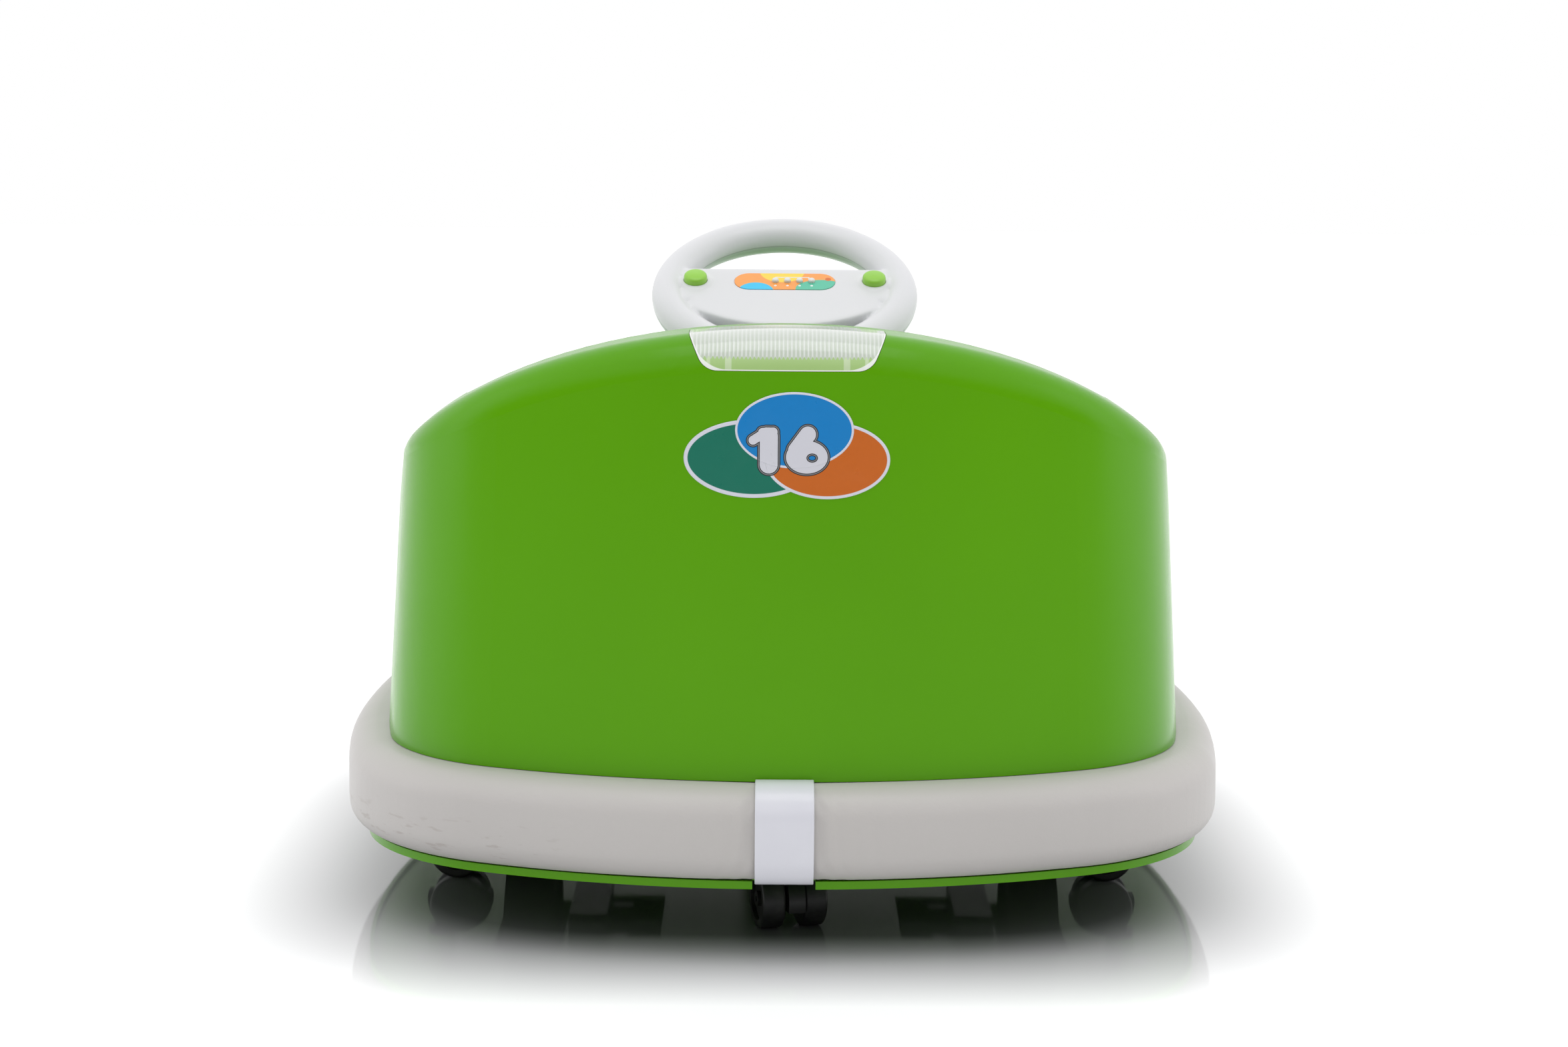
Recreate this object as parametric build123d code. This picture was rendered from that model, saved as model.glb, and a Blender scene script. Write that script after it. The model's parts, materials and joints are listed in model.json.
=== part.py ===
from build123d import *
import os
from math import cos, pi, radians, sin, sqrt

# Ride-on electric bumper car for one small child, driver's seat open at the top.
# Millimetres. Origin on the floor under the middle, +Y forward, +X to the driver's right, +Z up.

os.makedirs("parts", exist_ok=True)

# ---------------------------------------------------------------- overall plan
half_width = 330.0        # bumper's outer face, middle to side
half_length = 345.0       # bumper's outer face, middle to front or rear
end_radius = 538.0        # plan arc across the front and across the rear
side_radius = 1036.0      # plan arc along each side
corner_radius = 169.0     # plan arc at each corner
wall = 3.0                # moulded plastic wall
face_gap = 0.3            # between a soft or loose piece and its seat
run_gap = 0.05            # radial clearance of a shaft in its bore

# ---------------------------------------------------------------- bumper ring
ring_bottom = 54.0
ring_height = 65.0
ring_width = 42.0
ring_top_round = 23.0
ring_bottom_round = 18.0
clip_width = 42.0
clip_wall = 2.0

# ---------------------------------------------------------------- outer hull
wheel_centre = (0.0, half_length - 260.0, 426.0)   # steering wheel
shoulder_inset = 30.0     # hull's wall above the bumper, inside the outer face
hull_draft = 19.0         # how far the wall leans in up to draft_top
draft_top = 450.0
crown_half_width = half_width - shoulder_inset   # ellipse that closes the seat back
crown_height = 155.0
crown_base = 270.0
rim_round = 28.0
ridge_front = 120.0 - half_length                # front of the seat back's flat ridge
ridge_drop = 440.0
sill_rear = wheel_centre[1] - 155.0              # where the sloping wing meets the sill
sill_round = 120.0
dash_round = 40.0
hood_front = half_length - 55.0
hood_height = 318.0
hood_round = 60.0
nose_foot = half_length
nose_foot_height = 150.0

# ---------------------------------------------------------------- seat tub
seat_half_width = half_width - 102.0
seat_side_round = 22.0
seat_back_top = (113.0 - half_length, 470.0)
seat_back_foot = (195.0 - half_length, 190.0)
seat_front = (wheel_centre[1] - 45.0, 205.0)
well_rear = (wheel_centre[1] - 23.0, 66.0)
well_front = half_length - 160.0
toe_height = 150.0

# ---------------------------------------------------------------- base pan
flange_inset = 14.0
pan_bottom = 51.0
pan_wall = 3.0
floor_inset = 62.0
floor_bottom = 57.0
lip_drop = 2.5
boss_inset = 51.0
boss_radius = 5.0
boss_height = 34.0
screw_radius = 1.9
screw_head_radius = 3.8
screw_head_height = 2.2

# ---------------------------------------------------------------- steering
wheel_tilt = 28.0         # wheel's plane from level, its far edge raised
rim_radius = 92.0
rim_tube = 14.0
rim_wall = 2.5
shaft_radius = 7.0
dash_depth = 150.0        # along the column, wheel centre to dash
bush_depth = 296.0        # along the column, wheel centre to lower bush
bush_length = 30.0
shaft_end = 332.0

# ---------------------------------------------------------------- drive wheels
wheel_radius = 65.0
wheel_width = 38.0
wheel_x = half_width - 138.0
wheel_y = -40.0
arch_gap = 7.0
axle_radius = 4.0
gear_module = 1.0
pinion_teeth = 9
idler_large_teeth = 36
idler_small_teeth = 10
output_teeth = 40
gear_backlash = 0.15      # added to each centre distance
case_inner_x = wheel_x - 55.0
case_outer_x = wheel_x - 29.0
case_bottom = wheel_radius - 23.7
case_top = wheel_radius + 39.0
case_front = wheel_y + 88.0
case_rear = wheel_y - 35.0
case_wall = 2.5
motor_radius = 14.0
motor_length = 38.0

# ---------------------------------------------------------------- casters
caster_radius = 21.0
caster_width = 47.0
caster_trail = 15.0
caster_stem = 5.0
socket_bottom = 48.5
socket_radius = 11.0
socket_top = 81.0
# name, swivel x, swivel y, heading of the trail in degrees from +X
caster_places = (
    ("rear", 0.0, 114.0 - half_length, -75.0),
    ("left", 72.0 - half_width, wheel_y - 56.0, 0.0),
    ("right", half_width - 72.0, wheel_y - 56.0, 180.0),
    ("front", 0.0, half_length - 105.0, -105.0),
)


# ---------------------------------------------------------------- helpers
def save(shape, node):
    export_step(shape, "parts/" + node + ".step")


def box_between(low, high):
    size = [high[i] - low[i] for i in range(3)]
    middle = [(high[i] + low[i]) / 2 for i in range(3)]
    return Pos(*middle) * Box(*size)


def rod_z(x, y, z0, z1, radius):
    return Pos(x, y, (z0 + z1) / 2) * Cylinder(radius, z1 - z0)


def rod_x(x0, x1, y, z, radius):
    return Pos((x0 + x1) / 2, y, z) * Rot(0, 90, 0) * Cylinder(radius, abs(x1 - x0))


def outline(inset):
    """Plan of the car at floor level, as four arcs joined by corner arcs."""
    face = Pos(0, end_radius - half_length) * Circle(end_radius - inset)
    face = face & (Pos(0, half_length - end_radius) * Circle(end_radius - inset))
    face = face & (Pos(half_width - side_radius, 0) * Circle(side_radius - inset))
    face = face & (Pos(side_radius - half_width, 0) * Circle(side_radius - inset))
    face = face.faces()[0]
    return fillet(face.vertices(), corner_radius - inset).faces()[0]


def plan_block(inset, z0, z1):
    return extrude(Pos(0, 0, z0) * outline(inset), z1 - z0)


def end_y(x, inset):
    return half_length - end_radius + sqrt((end_radius - inset) ** 2 - x * x)


def side_x(y, inset):
    return half_width - side_radius + sqrt((side_radius - inset) ** 2 - y * y)


def near_vertex(face, y, z):
    return min(face.vertices(), key=lambda v: (v.Y - y) ** 2 + (v.Z - z) ** 2)


# ---------------------------------------------------------------- steering frame
tilt_sin = sin(radians(wheel_tilt))
tilt_cos = cos(radians(wheel_tilt))
column = Plane(origin=wheel_centre, x_dir=(1, 0, 0), z_dir=(0, -tilt_sin, tilt_cos)).location


def on_column(depth, offset=0.0):
    """Global (y, z) of a point down the column, moved by offset along the wheel's plane."""
    return (wheel_centre[1] + tilt_sin * depth + tilt_cos * offset,
            wheel_centre[2] - tilt_cos * depth + tilt_sin * offset)


dash_low = on_column(dash_depth, -45.0)
dash_high = on_column(dash_depth, 70.0)


# ---------------------------------------------------------------- bumper
def bumper_block(grow):
    """Solid of the bumper's outer shape, grown all round, with no middle taken out."""
    block = plan_block(-grow, ring_bottom - grow, ring_bottom + ring_height + grow)
    block = fillet(block.edges().group_by(Axis.Z)[-1], ring_top_round + grow)
    return fillet(block.edges().group_by(Axis.Z)[0], ring_bottom_round + grow)


ring_top = ring_bottom + ring_height
ring = bumper_block(0.0) - plan_block(ring_width, ring_bottom - 1, ring_top + 1)
save(ring, "bumper_ring")

clip_reach = shoulder_inset - 1.0
clip = bumper_block(face_gap + clip_wall) - bumper_block(face_gap)
clip = clip & box_between((-clip_width / 2, -half_length - 10, pan_bottom - 5),
                          (clip_width / 2, -half_length + clip_reach, ring_top + 10))
save(clip.solids()[0], "bumper_clip")


# ---------------------------------------------------------------- hull
def side_profile(shrink):
    """Seat back, wings, sills, dash and hood seen from the side, extruded across the car."""
    far = half_length + 75
    points = [(-far, 20), (-far, draft_top + 70), (ridge_front, draft_top + 70), (ridge_front, ridge_drop),
              (sill_rear, dash_low[1]), dash_low, dash_high, (hood_front, hood_height),
              (nose_foot, nose_foot_height), (far, 20)]
    face = make_face(Plane.YZ * Polyline(*points, close=True)).faces()[0]
    for place, radius in (((sill_rear, dash_low[1]), sill_round), (dash_low, dash_round),
                          (dash_high, dash_round), ((hood_front, hood_height), hood_round)):
        face = fillet(near_vertex(face, *place), radius).faces()[0]
    if shrink:
        face = offset(face, -shrink, kind=Kind.INTERSECTION).faces()[0]
    return extrude(face, half_width + 70, both=True)


def rim_edges(solid):
    """Edges where the hull's walls meet its top, without the edge along the ridge."""
    rims = []
    for edge in solid.edges():
        box = edge.bounding_box()
        along_ridge = box.size.X > 1.6 * seat_half_width and box.size.Y < 1
        if box.min.Z > crown_base - 70 and not along_ridge:
            rims.append(edge)
    return rims


def hull(shrink):
    """Outer hull above and inside the bumper, shrunk on every side but the floor."""
    inset = shoulder_inset + shrink
    walls = loft([Pos(0, 0, ring_top + 0.4 + shrink) * outline(inset),
                  Pos(0, 0, draft_top) * outline(inset + hull_draft)], ruled=True)
    crown = Plane.XZ * (Pos(0, crown_base) * Ellipse(crown_half_width - shrink, crown_height - shrink))
    under = Plane.XZ * (Pos(0, crown_base / 2) * Rectangle(2 * half_width + 20, crown_base))
    crown = extrude(crown, half_length + 60, both=True) + extrude(under, half_length + 60, both=True)
    top = ((walls & crown) & side_profile(shrink)).solids()[0]
    top = fillet(rim_edges(top), rim_round - shrink)
    foot = ring_bottom if shrink <= 0 else ring_bottom - 10
    low = plan_block(ring_width + 1.0 + shrink, foot, ring_top + 0.4 + shrink)
    return (top + low).solids()[0]


outer_hull = hull(0.0)
inner_hull = hull(wall)


def tub_space(grow):
    """Room for the driver: seat, back rest and foot well, grown by grow on every side."""
    well_y, well_z = well_rear
    points = [seat_back_top, seat_back_foot, seat_front, well_rear, (well_front, well_z),
              (well_front, toe_height), (dash_low[0] - 4, dash_low[1] - 14),
              (dash_low[0] - 16, seat_back_top[1])]
    face = make_face(Plane.YZ * Polyline(*points, close=True)).faces()[0]
    for place, radius in ((seat_back_foot, 45), (seat_front, 40), (well_rear, 26),
                          ((well_front, well_z), 26), ((well_front, toe_height), 30)):
        face = fillet(near_vertex(face, *place), radius).faces()[0]
    if grow:
        face = offset(face, grow, kind=Kind.INTERSECTION).faces()[0]
    body = extrude(face, seat_half_width + grow, both=True)
    rims = [e for e in body.edges() if abs(abs(e.center().X) - seat_half_width - grow) < 0.01
            and e.bounding_box().max.Z < seat_back_top[1] - 1]
    return body, rims


space, space_rims = tub_space(0.0)
skin, skin_rims = tub_space(wall)
space = fillet(space_rims, seat_side_round)
skin = fillet(skin_rims, seat_side_round + wall)
tub = (skin & outer_hull) - space
save(tub.solids().sort_by(SortBy.VOLUME)[-1], "seat_tub")


# ---------------------------------------------------------------- screw places
end_boss_x = 120.0
boss_places = []
for side in (-1, 1):
    for end in (-1, 1):
        boss_places.append((side * end_boss_x, end * end_y(end_boss_x, boss_inset)))
    for y in (185.0 - half_length, half_length - 225.0):
        boss_places.append((side * side_x(y, boss_inset), y))


# ---------------------------------------------------------------- rear lamp
lens_half_top = 71.0
lens_half_foot = 56.5
lens_foot = 398.0
lens_front = ridge_front - 13.0
lens_wall = 2.2
lens_corner = 14.0
lamp_depth = 11.0


def lamp_block(grow):
    """Upright prism that the lens is cut from, open upwards."""
    lean = (lens_half_top - lens_half_foot) / (draft_top - 20 - lens_foot)
    rise = draft_top + 10 - lens_foot
    top = lens_half_foot + lean * rise + grow
    foot = lens_half_foot + grow
    low = lens_foot - grow
    face = make_face(Plane.XZ * Polyline((-foot, low), (foot, low), (top, low + rise),
                                         (-top, low + rise), close=True)).faces()[0]
    corners = [v for v in face.vertices() if abs(v.Z - low) < 0.01]
    face = fillet(corners, lens_corner + grow).faces()[0]
    block = extrude(face, half_length + 60, both=True)
    return block & box_between((-200, -half_length, crown_base), (200, lens_front + grow, draft_top + 50))


lens_space = lamp_block(face_gap)
lens = (outer_hull - hull(lens_wall)) & lamp_block(0.0)
save(lens.solids().sort_by(SortBy.VOLUME)[-1], "rear_lens")

tray = (hull(lens_wall + 0.1) - hull(lamp_depth)) & lamp_block(-3.0)
tray_room = outer_hull - hull(lamp_depth - 2.0)
tray = tray - (tray_room & lamp_block(-5.0))
tray = tray.solids().sort_by(SortBy.VOLUME)[-1]
save(tray, "rear_lamp_tray")

led_z = crown_base + crown_height - lamp_depth + 2.0
led_y = (ridge_front + lens_front) / 2 - 26.0
led_strip = box_between((-46, led_y - 5, led_z), (46, led_y + 5, led_z + 1.6))
for step in range(6):
    led_strip += rod_z(-37.5 + 15 * step, led_y, led_z + 1.6, led_z + 3.4, 2.4)
save(led_strip, "rear_led_strip")


# ---------------------------------------------------------------- body shell
# Pieces that the dash carries: two rockers and the charging socket, on the column's slope.
switch_x = 78.0
switch_offset = 4.0       # along the dash, from the column
switch_length = 21.0
switch_width = 15.0
switch_hole_length = 18.6
switch_hole_width = 12.6
socket_x = 124.0
port_radius = 7.0
dash_hole = 12.0

shell = outer_hull - inner_hull - skin - lens_space
shell = shell - column * Pos(0, 0, -dash_depth) * Cylinder(dash_hole, 30)
for side in (-1, 1):
    hole = Box(switch_hole_width, switch_hole_length, 30)
    shell = shell - column * Pos(side * switch_x, switch_offset, -dash_depth) * hole
shell = shell - column * Pos(socket_x, switch_offset, -dash_depth) * Cylinder(port_radius, 30)
for x, y in boss_places:
    shell = shell + rod_z(x, y, ring_bottom, ring_bottom + boss_height, boss_radius)
for x, y in boss_places:
    shell = shell - rod_z(x, y, ring_bottom, ring_bottom + boss_height - 4, screw_radius + run_gap)
save(shell.solids().sort_by(SortBy.VOLUME)[-1], "body_shell")


# ---------------------------------------------------------------- number decal
# Centre x, centre z, half-width, half-height of the three overlapping ovals.
decal_height = 348.0
decal_film = 0.35
decal_ovals = ((-23.0, -9.0, 46.8, 26.4), (27.5, -9.9, 42.3, 26.1), (5.0, 10.4, 40.1, 25.7))
film = Plane.XZ * (Pos(decal_ovals[0][0], decal_height + decal_ovals[0][1])
                   * Ellipse(decal_ovals[0][2], decal_ovals[0][3]))
film = extrude(film, half_length)
for x, z, a, b in decal_ovals[1:]:
    film = film + extrude(Plane.XZ * (Pos(x, decal_height + z) * Ellipse(a, b)), half_length)
rear_only = box_between((-half_width, -half_length, 0), (half_width, ridge_front - 20, draft_top))
decal = (hull(-decal_film) - outer_hull) & film & rear_only
save(decal.solids().sort_by(SortBy.VOLUME)[-1], "number_decal")


# ---------------------------------------------------------------- base pan
floor_top = floor_bottom + pan_wall
pan = plan_block(flange_inset, pan_bottom, ring_bottom)
pan = pan + (plan_block(flange_inset, pan_bottom - lip_drop, pan_bottom)
             - plan_block(flange_inset + 3, pan_bottom - lip_drop, pan_bottom))
pan = pan + plan_block(floor_inset, pan_bottom, floor_top)
pan = pan - plan_block(floor_inset + 4, pan_bottom - 1, floor_bottom)

arch_radius = wheel_radius + arch_gap
arch_inner_x = case_outer_x + 0.5 + pan_wall
arch_outer_x = wheel_x + wheel_width / 2 + arch_gap
skirt_top = max(wheel_radius, floor_top)
motor_gap_x = case_inner_x - motor_length - 6.5
for side in (-1, 1):
    outer = rod_x(side * (arch_inner_x - pan_wall), side * (arch_outer_x + pan_wall),
                  wheel_y, wheel_radius, arch_radius + pan_wall)
    low_x = min(side * (arch_inner_x - pan_wall), side * (arch_outer_x + pan_wall))
    high_x = max(side * (arch_inner_x - pan_wall), side * (arch_outer_x + pan_wall))
    skirt = box_between((low_x, wheel_y - arch_radius - pan_wall, floor_bottom),
                        (high_x, wheel_y + arch_radius + pan_wall, skirt_top))
    above = box_between((low_x - 1, wheel_y - 100, floor_bottom), (high_x + 1, wheel_y + 100, 200))
    pan = pan + (outer & above) + skirt
for side in (-1, 1):
    low_x = min(side * arch_inner_x, side * arch_outer_x)
    high_x = max(side * arch_inner_x, side * arch_outer_x)
    room = rod_x(low_x, high_x, wheel_y, wheel_radius, arch_radius)
    room = room & box_between((low_x, wheel_y - 100, wheel_radius), (high_x, wheel_y + 100, 200))
    room = room + box_between((low_x, wheel_y - arch_radius, 20),
                              (high_x, wheel_y + arch_radius, wheel_radius))
    pan = pan - room
    pan = pan - rod_x(side * (case_outer_x - 2), side * (arch_inner_x + 2), wheel_y, wheel_radius,
                      axle_radius + 2.5)
    low_x = min(side * motor_gap_x, side * (case_outer_x + 0.5))
    high_x = max(side * motor_gap_x, side * (case_outer_x + 0.5))
    pan = pan - box_between((low_x, case_rear - 0.5, 20), (high_x, case_front + 0.5, floor_top + 1))
for _, x, y, _ in caster_places:
    pan = pan + rod_z(x, y, socket_bottom, socket_top, socket_radius)
for _, x, y, _ in caster_places:
    pan = pan - rod_z(x, y, socket_bottom - 1, socket_top - 3, caster_stem + run_gap)
for x, y in boss_places:
    pan = pan - rod_z(x, y, pan_bottom - 5, ring_bottom + 1, screw_radius + run_gap)
notch = box_between((-clip_width / 2 - 0.5, -half_length - 5, pan_bottom - 5),
                    (clip_width / 2 + 0.5, -half_length + clip_reach + 0.5, ring_bottom + 1))
pan = pan - notch
# pads under the foot well's floor
pad_top = well_rear[1] - wall
for x in (-150, -50, 50, 150):
    pan = pan + box_between((x - 8, well_front - 75, floor_top), (x + 8, well_front - 35, pad_top))
board_low = floor_top + 6.0
for x in (-36, 36):
    for y in (-50, -10):
        pan = pan + rod_z(x, y, floor_top, board_low, 3.0)
save(pan.solids().sort_by(SortBy.VOLUME)[-1], "base_pan")


# ---------------------------------------------------------------- steering wheel
# Local frame of the column: u to the right, v up the wheel's plane, h out of its face.
bar_half = 84.0           # crossbar
bar_low = -28.0
bar_high = 23.0
bar_top = 12.0
bar_bottom = -10.0
belly_low = -64.0         # lowest point of the hub's curved lower edge
belly_half = 78.0
belly_radius = 118.0
neck_half = 24.0          # short web from the hub down to the rim
neck_top = 8.0
bar_round = 5.0
belly_round = 7.0
button_u = 71.0
button_radius = 9.25
button_top = 19.0
button_wall_low = 8.3     # underside of the wall that a button slides through
button_wall_high = 13.5
button_slack = 0.08
panel_length = 80.0
panel_width = 24.0
panel_film = 0.8
panel_sink = 0.4
key_radius = 2.7
key_pitch = 9.6
key_first = -7.5
board_h = 4.0
board_thick = 1.6
neck_radius = 18.0
neck_length = 42.0
bolt_depth = 30.0
bolt_radius = 2.5
key_places = [key_first + key_pitch * i for i in range(4)]


def wheel_half(sign, shrink):
    """Rim, crossbar and hub on one side of the wheel's middle plane, shrunk by shrink."""
    far = 2 * half_width
    middle = -2.0 * sign if shrink else 0.0
    bar_face = bar_top - shrink if sign > 0 else bar_bottom + shrink
    neck_face = neck_top - shrink if sign > 0 else bar_bottom + shrink
    rim = Torus(rim_radius, rim_tube - shrink)
    if not shrink:
        rim = rim & box_between((-far, -far, min(0, sign * 40)), (far, far, max(0, sign * 40)))
    bar = box_between((-bar_half, bar_low + shrink, min(middle, bar_face)),
                      (bar_half, bar_high - shrink, max(middle, bar_face)))
    plan = Pos(0, belly_low + belly_radius) * Circle(belly_radius - shrink)
    plan = plan & (Pos(0, (bar_low + 6 + belly_low - 9) / 2)
                   * Rectangle(2 * (belly_half - shrink), bar_low + 6 - belly_low + 9))
    belly = extrude(Pos(0, 0, min(middle, bar_face)) * plan, abs(bar_face - middle))
    neck = box_between((-neck_half + shrink, -rim_radius, min(middle, neck_face)),
                       (neck_half - shrink, belly_low + 12, max(middle, neck_face)))
    if not shrink:
        face = -1 if sign > 0 else 0
        ridge = bar.edges().filter_by(Axis.X).group_by(Axis.Z)[face].sort_by(Axis.Y)[-1]
        bar = fillet(ridge, bar_round)
        curve = belly.edges().filter_by(GeomType.CIRCLE).group_by(Axis.Z)[face]
        belly = fillet(curve, belly_round)
        neck = fillet(neck.edges().filter_by(Axis.Y).group_by(Axis.Z)[face], bar_round)
    return rim + bar + belly + neck


front = wheel_half(1, 0.0)
hollow = wheel_half(1, rim_wall)
for side in (-1, 1):
    front += rod_z(side * button_u, 0, 0, button_wall_high, button_radius + 3)
    hollow += rod_z(side * button_u, 0, -0.5, button_wall_low, button_radius + 1.6)
front -= hollow
back = wheel_half(-1, 0.0) - wheel_half(-1, rim_wall)
for side in (-1, 1):
    front -= rod_z(side * button_u, 0, 1, 30, button_radius + button_slack)
panel_h = bar_top - panel_sink
panel = extrude(Pos(0, 0, panel_h) * SlotOverall(panel_length, panel_width), panel_film)
front -= extrude(Pos(0, 0, panel_h) * SlotOverall(panel_length + 0.4, panel_width + 0.4), 5)
for u in key_places:
    key_hole = rod_z(u, 0, 5, 20, key_radius + button_slack)
    front -= key_hole
    panel -= key_hole
for u in (-28, 38):
    for v in (-14, 10):
        front += rod_z(u, v, board_h + board_thick, bar_top - rim_wall, 2.0)
back += rod_z(0, 0, -neck_length, bar_bottom + 0.5, neck_radius)
back -= rod_z(0, 0, -neck_length - 1, bar_bottom - 0.2, shaft_radius + run_gap)
cross_hole = rod_x(-30, 30, 0, -bolt_depth, bolt_radius + run_gap)
back -= cross_hole
save(column * front.solids().sort_by(SortBy.VOLUME)[-1], "wheel_front_shell")
save(column * back.solids().sort_by(SortBy.VOLUME)[-1], "wheel_back_shell")
save(column * panel, "wheel_panel")

board = box_between((-34, -20, board_h), (44, 16, board_h + board_thick))
for u in key_places:
    board += rod_z(u, 0, board_h + board_thick, board_h + board_thick + 1.2, 1.8)
board += box_between((28, -16, board_h - 2.5), (40, -4, board_h))
save(column * board, "wheel_sound_board")

speaker_v = -50.0
speaker = rod_z(0, speaker_v, bar_bottom + rim_wall, -1.0, 14.0)
speaker += rod_z(0, speaker_v, -1.0, 3.0, 8.0)
save(column * speaker, "wheel_speaker")

cells = []
for v in (8.5, -5.0):
    cell_h = bar_bottom + rim_wall + 5.3
    cells.append(rod_x(-22.0, 22.0, v, cell_h, 5.25) + rod_x(22.0, 23.0, v, cell_h, 1.9))
save(column * Compound(children=[c.solids()[0] for c in cells]), "wheel_cells")

for side, name in ((-1, "left"), (1, "right")):
    button = rod_z(side * button_u, 0, button_wall_low - 2.0, button_wall_low - 0.1, button_radius + 1.2)
    button += rod_z(side * button_u, 0, button_wall_low - 0.1, button_top, button_radius)
    button = fillet(button.edges().group_by(Axis.Z)[-1], 3.0)
    save(column * button, "horn_button_" + name)
for i in range(4):
    key = rod_z(key_places[i], 0, bar_top - rim_wall - 0.9, bar_top - rim_wall - 0.1, key_radius + 1)
    key += rod_z(key_places[i], 0, bar_top - rim_wall - 0.1, bar_top + 3.0, key_radius)
    key = fillet(key.edges().group_by(Axis.Z)[-1], 1.6)
    save(column * key, "panel_key_%d" % (i + 1))


# ---------------------------------------------------------------- column
shaft = rod_z(0, 0, -shaft_end, bar_bottom - 0.2, shaft_radius)
shaft -= rod_z(0, 0, -shaft_end - 1, bar_bottom - 14, shaft_radius - 2)
shaft -= cross_hole
save(column * shaft, "steering_shaft")
bolt = rod_x(-neck_radius - 4, neck_radius + 4, 0, -bolt_depth, bolt_radius)
bolt += rod_x(-neck_radius - 3.6, -neck_radius + 0.4, 0, -bolt_depth, 4.5)
bolt += rod_x(neck_radius - 0.4, neck_radius + 3.6, 0, -bolt_depth, 4.3)
bolt -= rod_z(0, 0, -neck_length + 2, bar_bottom, neck_radius) - rod_x(
    -30, 30, 0, -bolt_depth, bolt_radius + 0.01)
save(column * bolt.solids().sort_by(SortBy.VOLUME)[-1], "wheel_bolt")

bush_wall = 3.0
upper = rod_z(0, 0, -dash_depth, -dash_depth + 3, dash_hole + 5)
upper += rod_z(0, 0, -dash_depth - 10, -dash_depth, dash_hole)
upper -= rod_z(0, 0, -dash_depth - 20, -dash_depth + 10, shaft_radius + run_gap)
lower = rod_z(0, 0, -bush_depth - bush_length, -bush_depth, shaft_radius + bush_wall)
lower -= rod_z(0, 0, -bush_depth - bush_length - 1, -bush_depth + 1, shaft_radius + run_gap)
save(column * Compound(children=[upper.solids()[0], lower.solids()[0]]), "column_bushes")

plate_u = 18.0
plate_thick = 6.0
plate_half = 13.0
bracket = None
for side in (-1, 1):
    low_u = min(side * plate_u, side * (plate_u + plate_thick))
    ear = column * box_between((low_u, -plate_half, -430), (low_u + plate_thick, plate_half, -262))
    ear = ear & box_between((-60, 0, floor_top), (60, half_length, hood_height))
    bracket = ear if bracket is None else bracket + ear
foot_y = on_column(dash_depth + 264.0)[0]
bracket += column * (rod_z(0, 0, -bush_depth - bush_length, -bush_depth, plate_u + 2)
                     & box_between((-plate_u - 1, -plate_half, -400), (plate_u + 1, plate_half, -200)))
for side in (-1, 1):
    low_x = min(side * (plate_u + plate_thick - 1), side * (plate_u + plate_thick + 15))
    bracket += box_between((low_x, foot_y - 17, floor_top), (low_x + 16, foot_y + 13, floor_top + 4))
    bracket -= rod_z(side * (plate_u + plate_thick + 8), foot_y - 2, floor_top - 1, floor_top + 10,
                     screw_radius + run_gap)
bracket -= column * rod_z(0, 0, -400, -250, shaft_radius + bush_wall)
save(bracket.solids().sort_by(SortBy.VOLUME)[-1], "column_bracket")

cam_depth = 278.0
cam = rod_z(0, 0, -cam_depth - 4, -cam_depth + 4, 12.0)
cam += box_between((-4, 0, -cam_depth - 4), (4, 26, -cam_depth + 4))
cam -= rod_z(0, 0, -cam_depth - 5, -cam_depth + 5, shaft_radius)
save(column * cam, "steering_cam")
switches = []
for side in (-1, 1):
    low_u = min(side * (plate_u + 0.8), side * (plate_u + 7))
    case = box_between((low_u, plate_half, -cam_depth - 5), (low_u + 6.2, plate_half + 20, -cam_depth + 5))
    tip = rod_x(side * (plate_u + 0.2), side * (plate_u + 2), plate_half + 9, -cam_depth, 1.5)
    switches.append((column * (case + tip)).solids()[0])


# ---------------------------------------------------------------- dash switches and port
bezel_rise = 2.0
switch_depth = 15.0
rocker_length = 13.4
rocker_width = 9.0
rocker_tilt = 8.0
rocker_bodies = []
for side, name in ((-1, "power"), (1, "direction")):
    place = column * Pos(side * switch_x, switch_offset, -dash_depth)
    body = box_between((-switch_width / 2, -switch_length / 2, 0),
                       (switch_width / 2, switch_length / 2, bezel_rise))
    body += box_between((-switch_hole_width / 2, -switch_hole_length / 2, -switch_depth),
                        (switch_hole_width / 2, switch_hole_length / 2, 0))
    body -= box_between((-rocker_width / 2 - 0.4, -rocker_length / 2 - 1, -7),
                        (rocker_width / 2 + 0.4, rocker_length / 2 + 1, bezel_rise + 1))
    body -= rod_x(-rocker_width / 2 - 1.2, rocker_width / 2 + 1.2, 0, -1.0, 1.0 + run_gap)
    rocker_bodies.append((place * body).solids()[0])
    rocker = box_between((-rocker_width / 2, -rocker_length / 2, -3.0),
                         (rocker_width / 2, rocker_length / 2, 3.2))
    rocker = fillet(rocker.edges().filter_by(Axis.X).group_by(Axis.Z)[-1], 1.5)
    rocker = Pos(0, 0, -1.0) * Rot(-rocker_tilt, 0, 0) * Pos(0, 0, 1.0) * rocker
    rocker += rod_x(-rocker_width / 2 - 1.1, rocker_width / 2 + 1.1, 0, -1.0, 1.0)
    save(place * rocker, name + "_rocker")
save(Compound(children=rocker_bodies), "rocker_housings")

port = rod_z(0, 0, 0, 2.5, port_radius + 3)
port += rod_z(0, 0, -16, 0, port_radius)
port -= rod_z(0, 0, -10, 5, 2.75)
port += rod_z(0, 0, -11, 1, 1.05)
save(column * Pos(socket_x, switch_offset, -dash_depth) * port, "charging_port")


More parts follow.
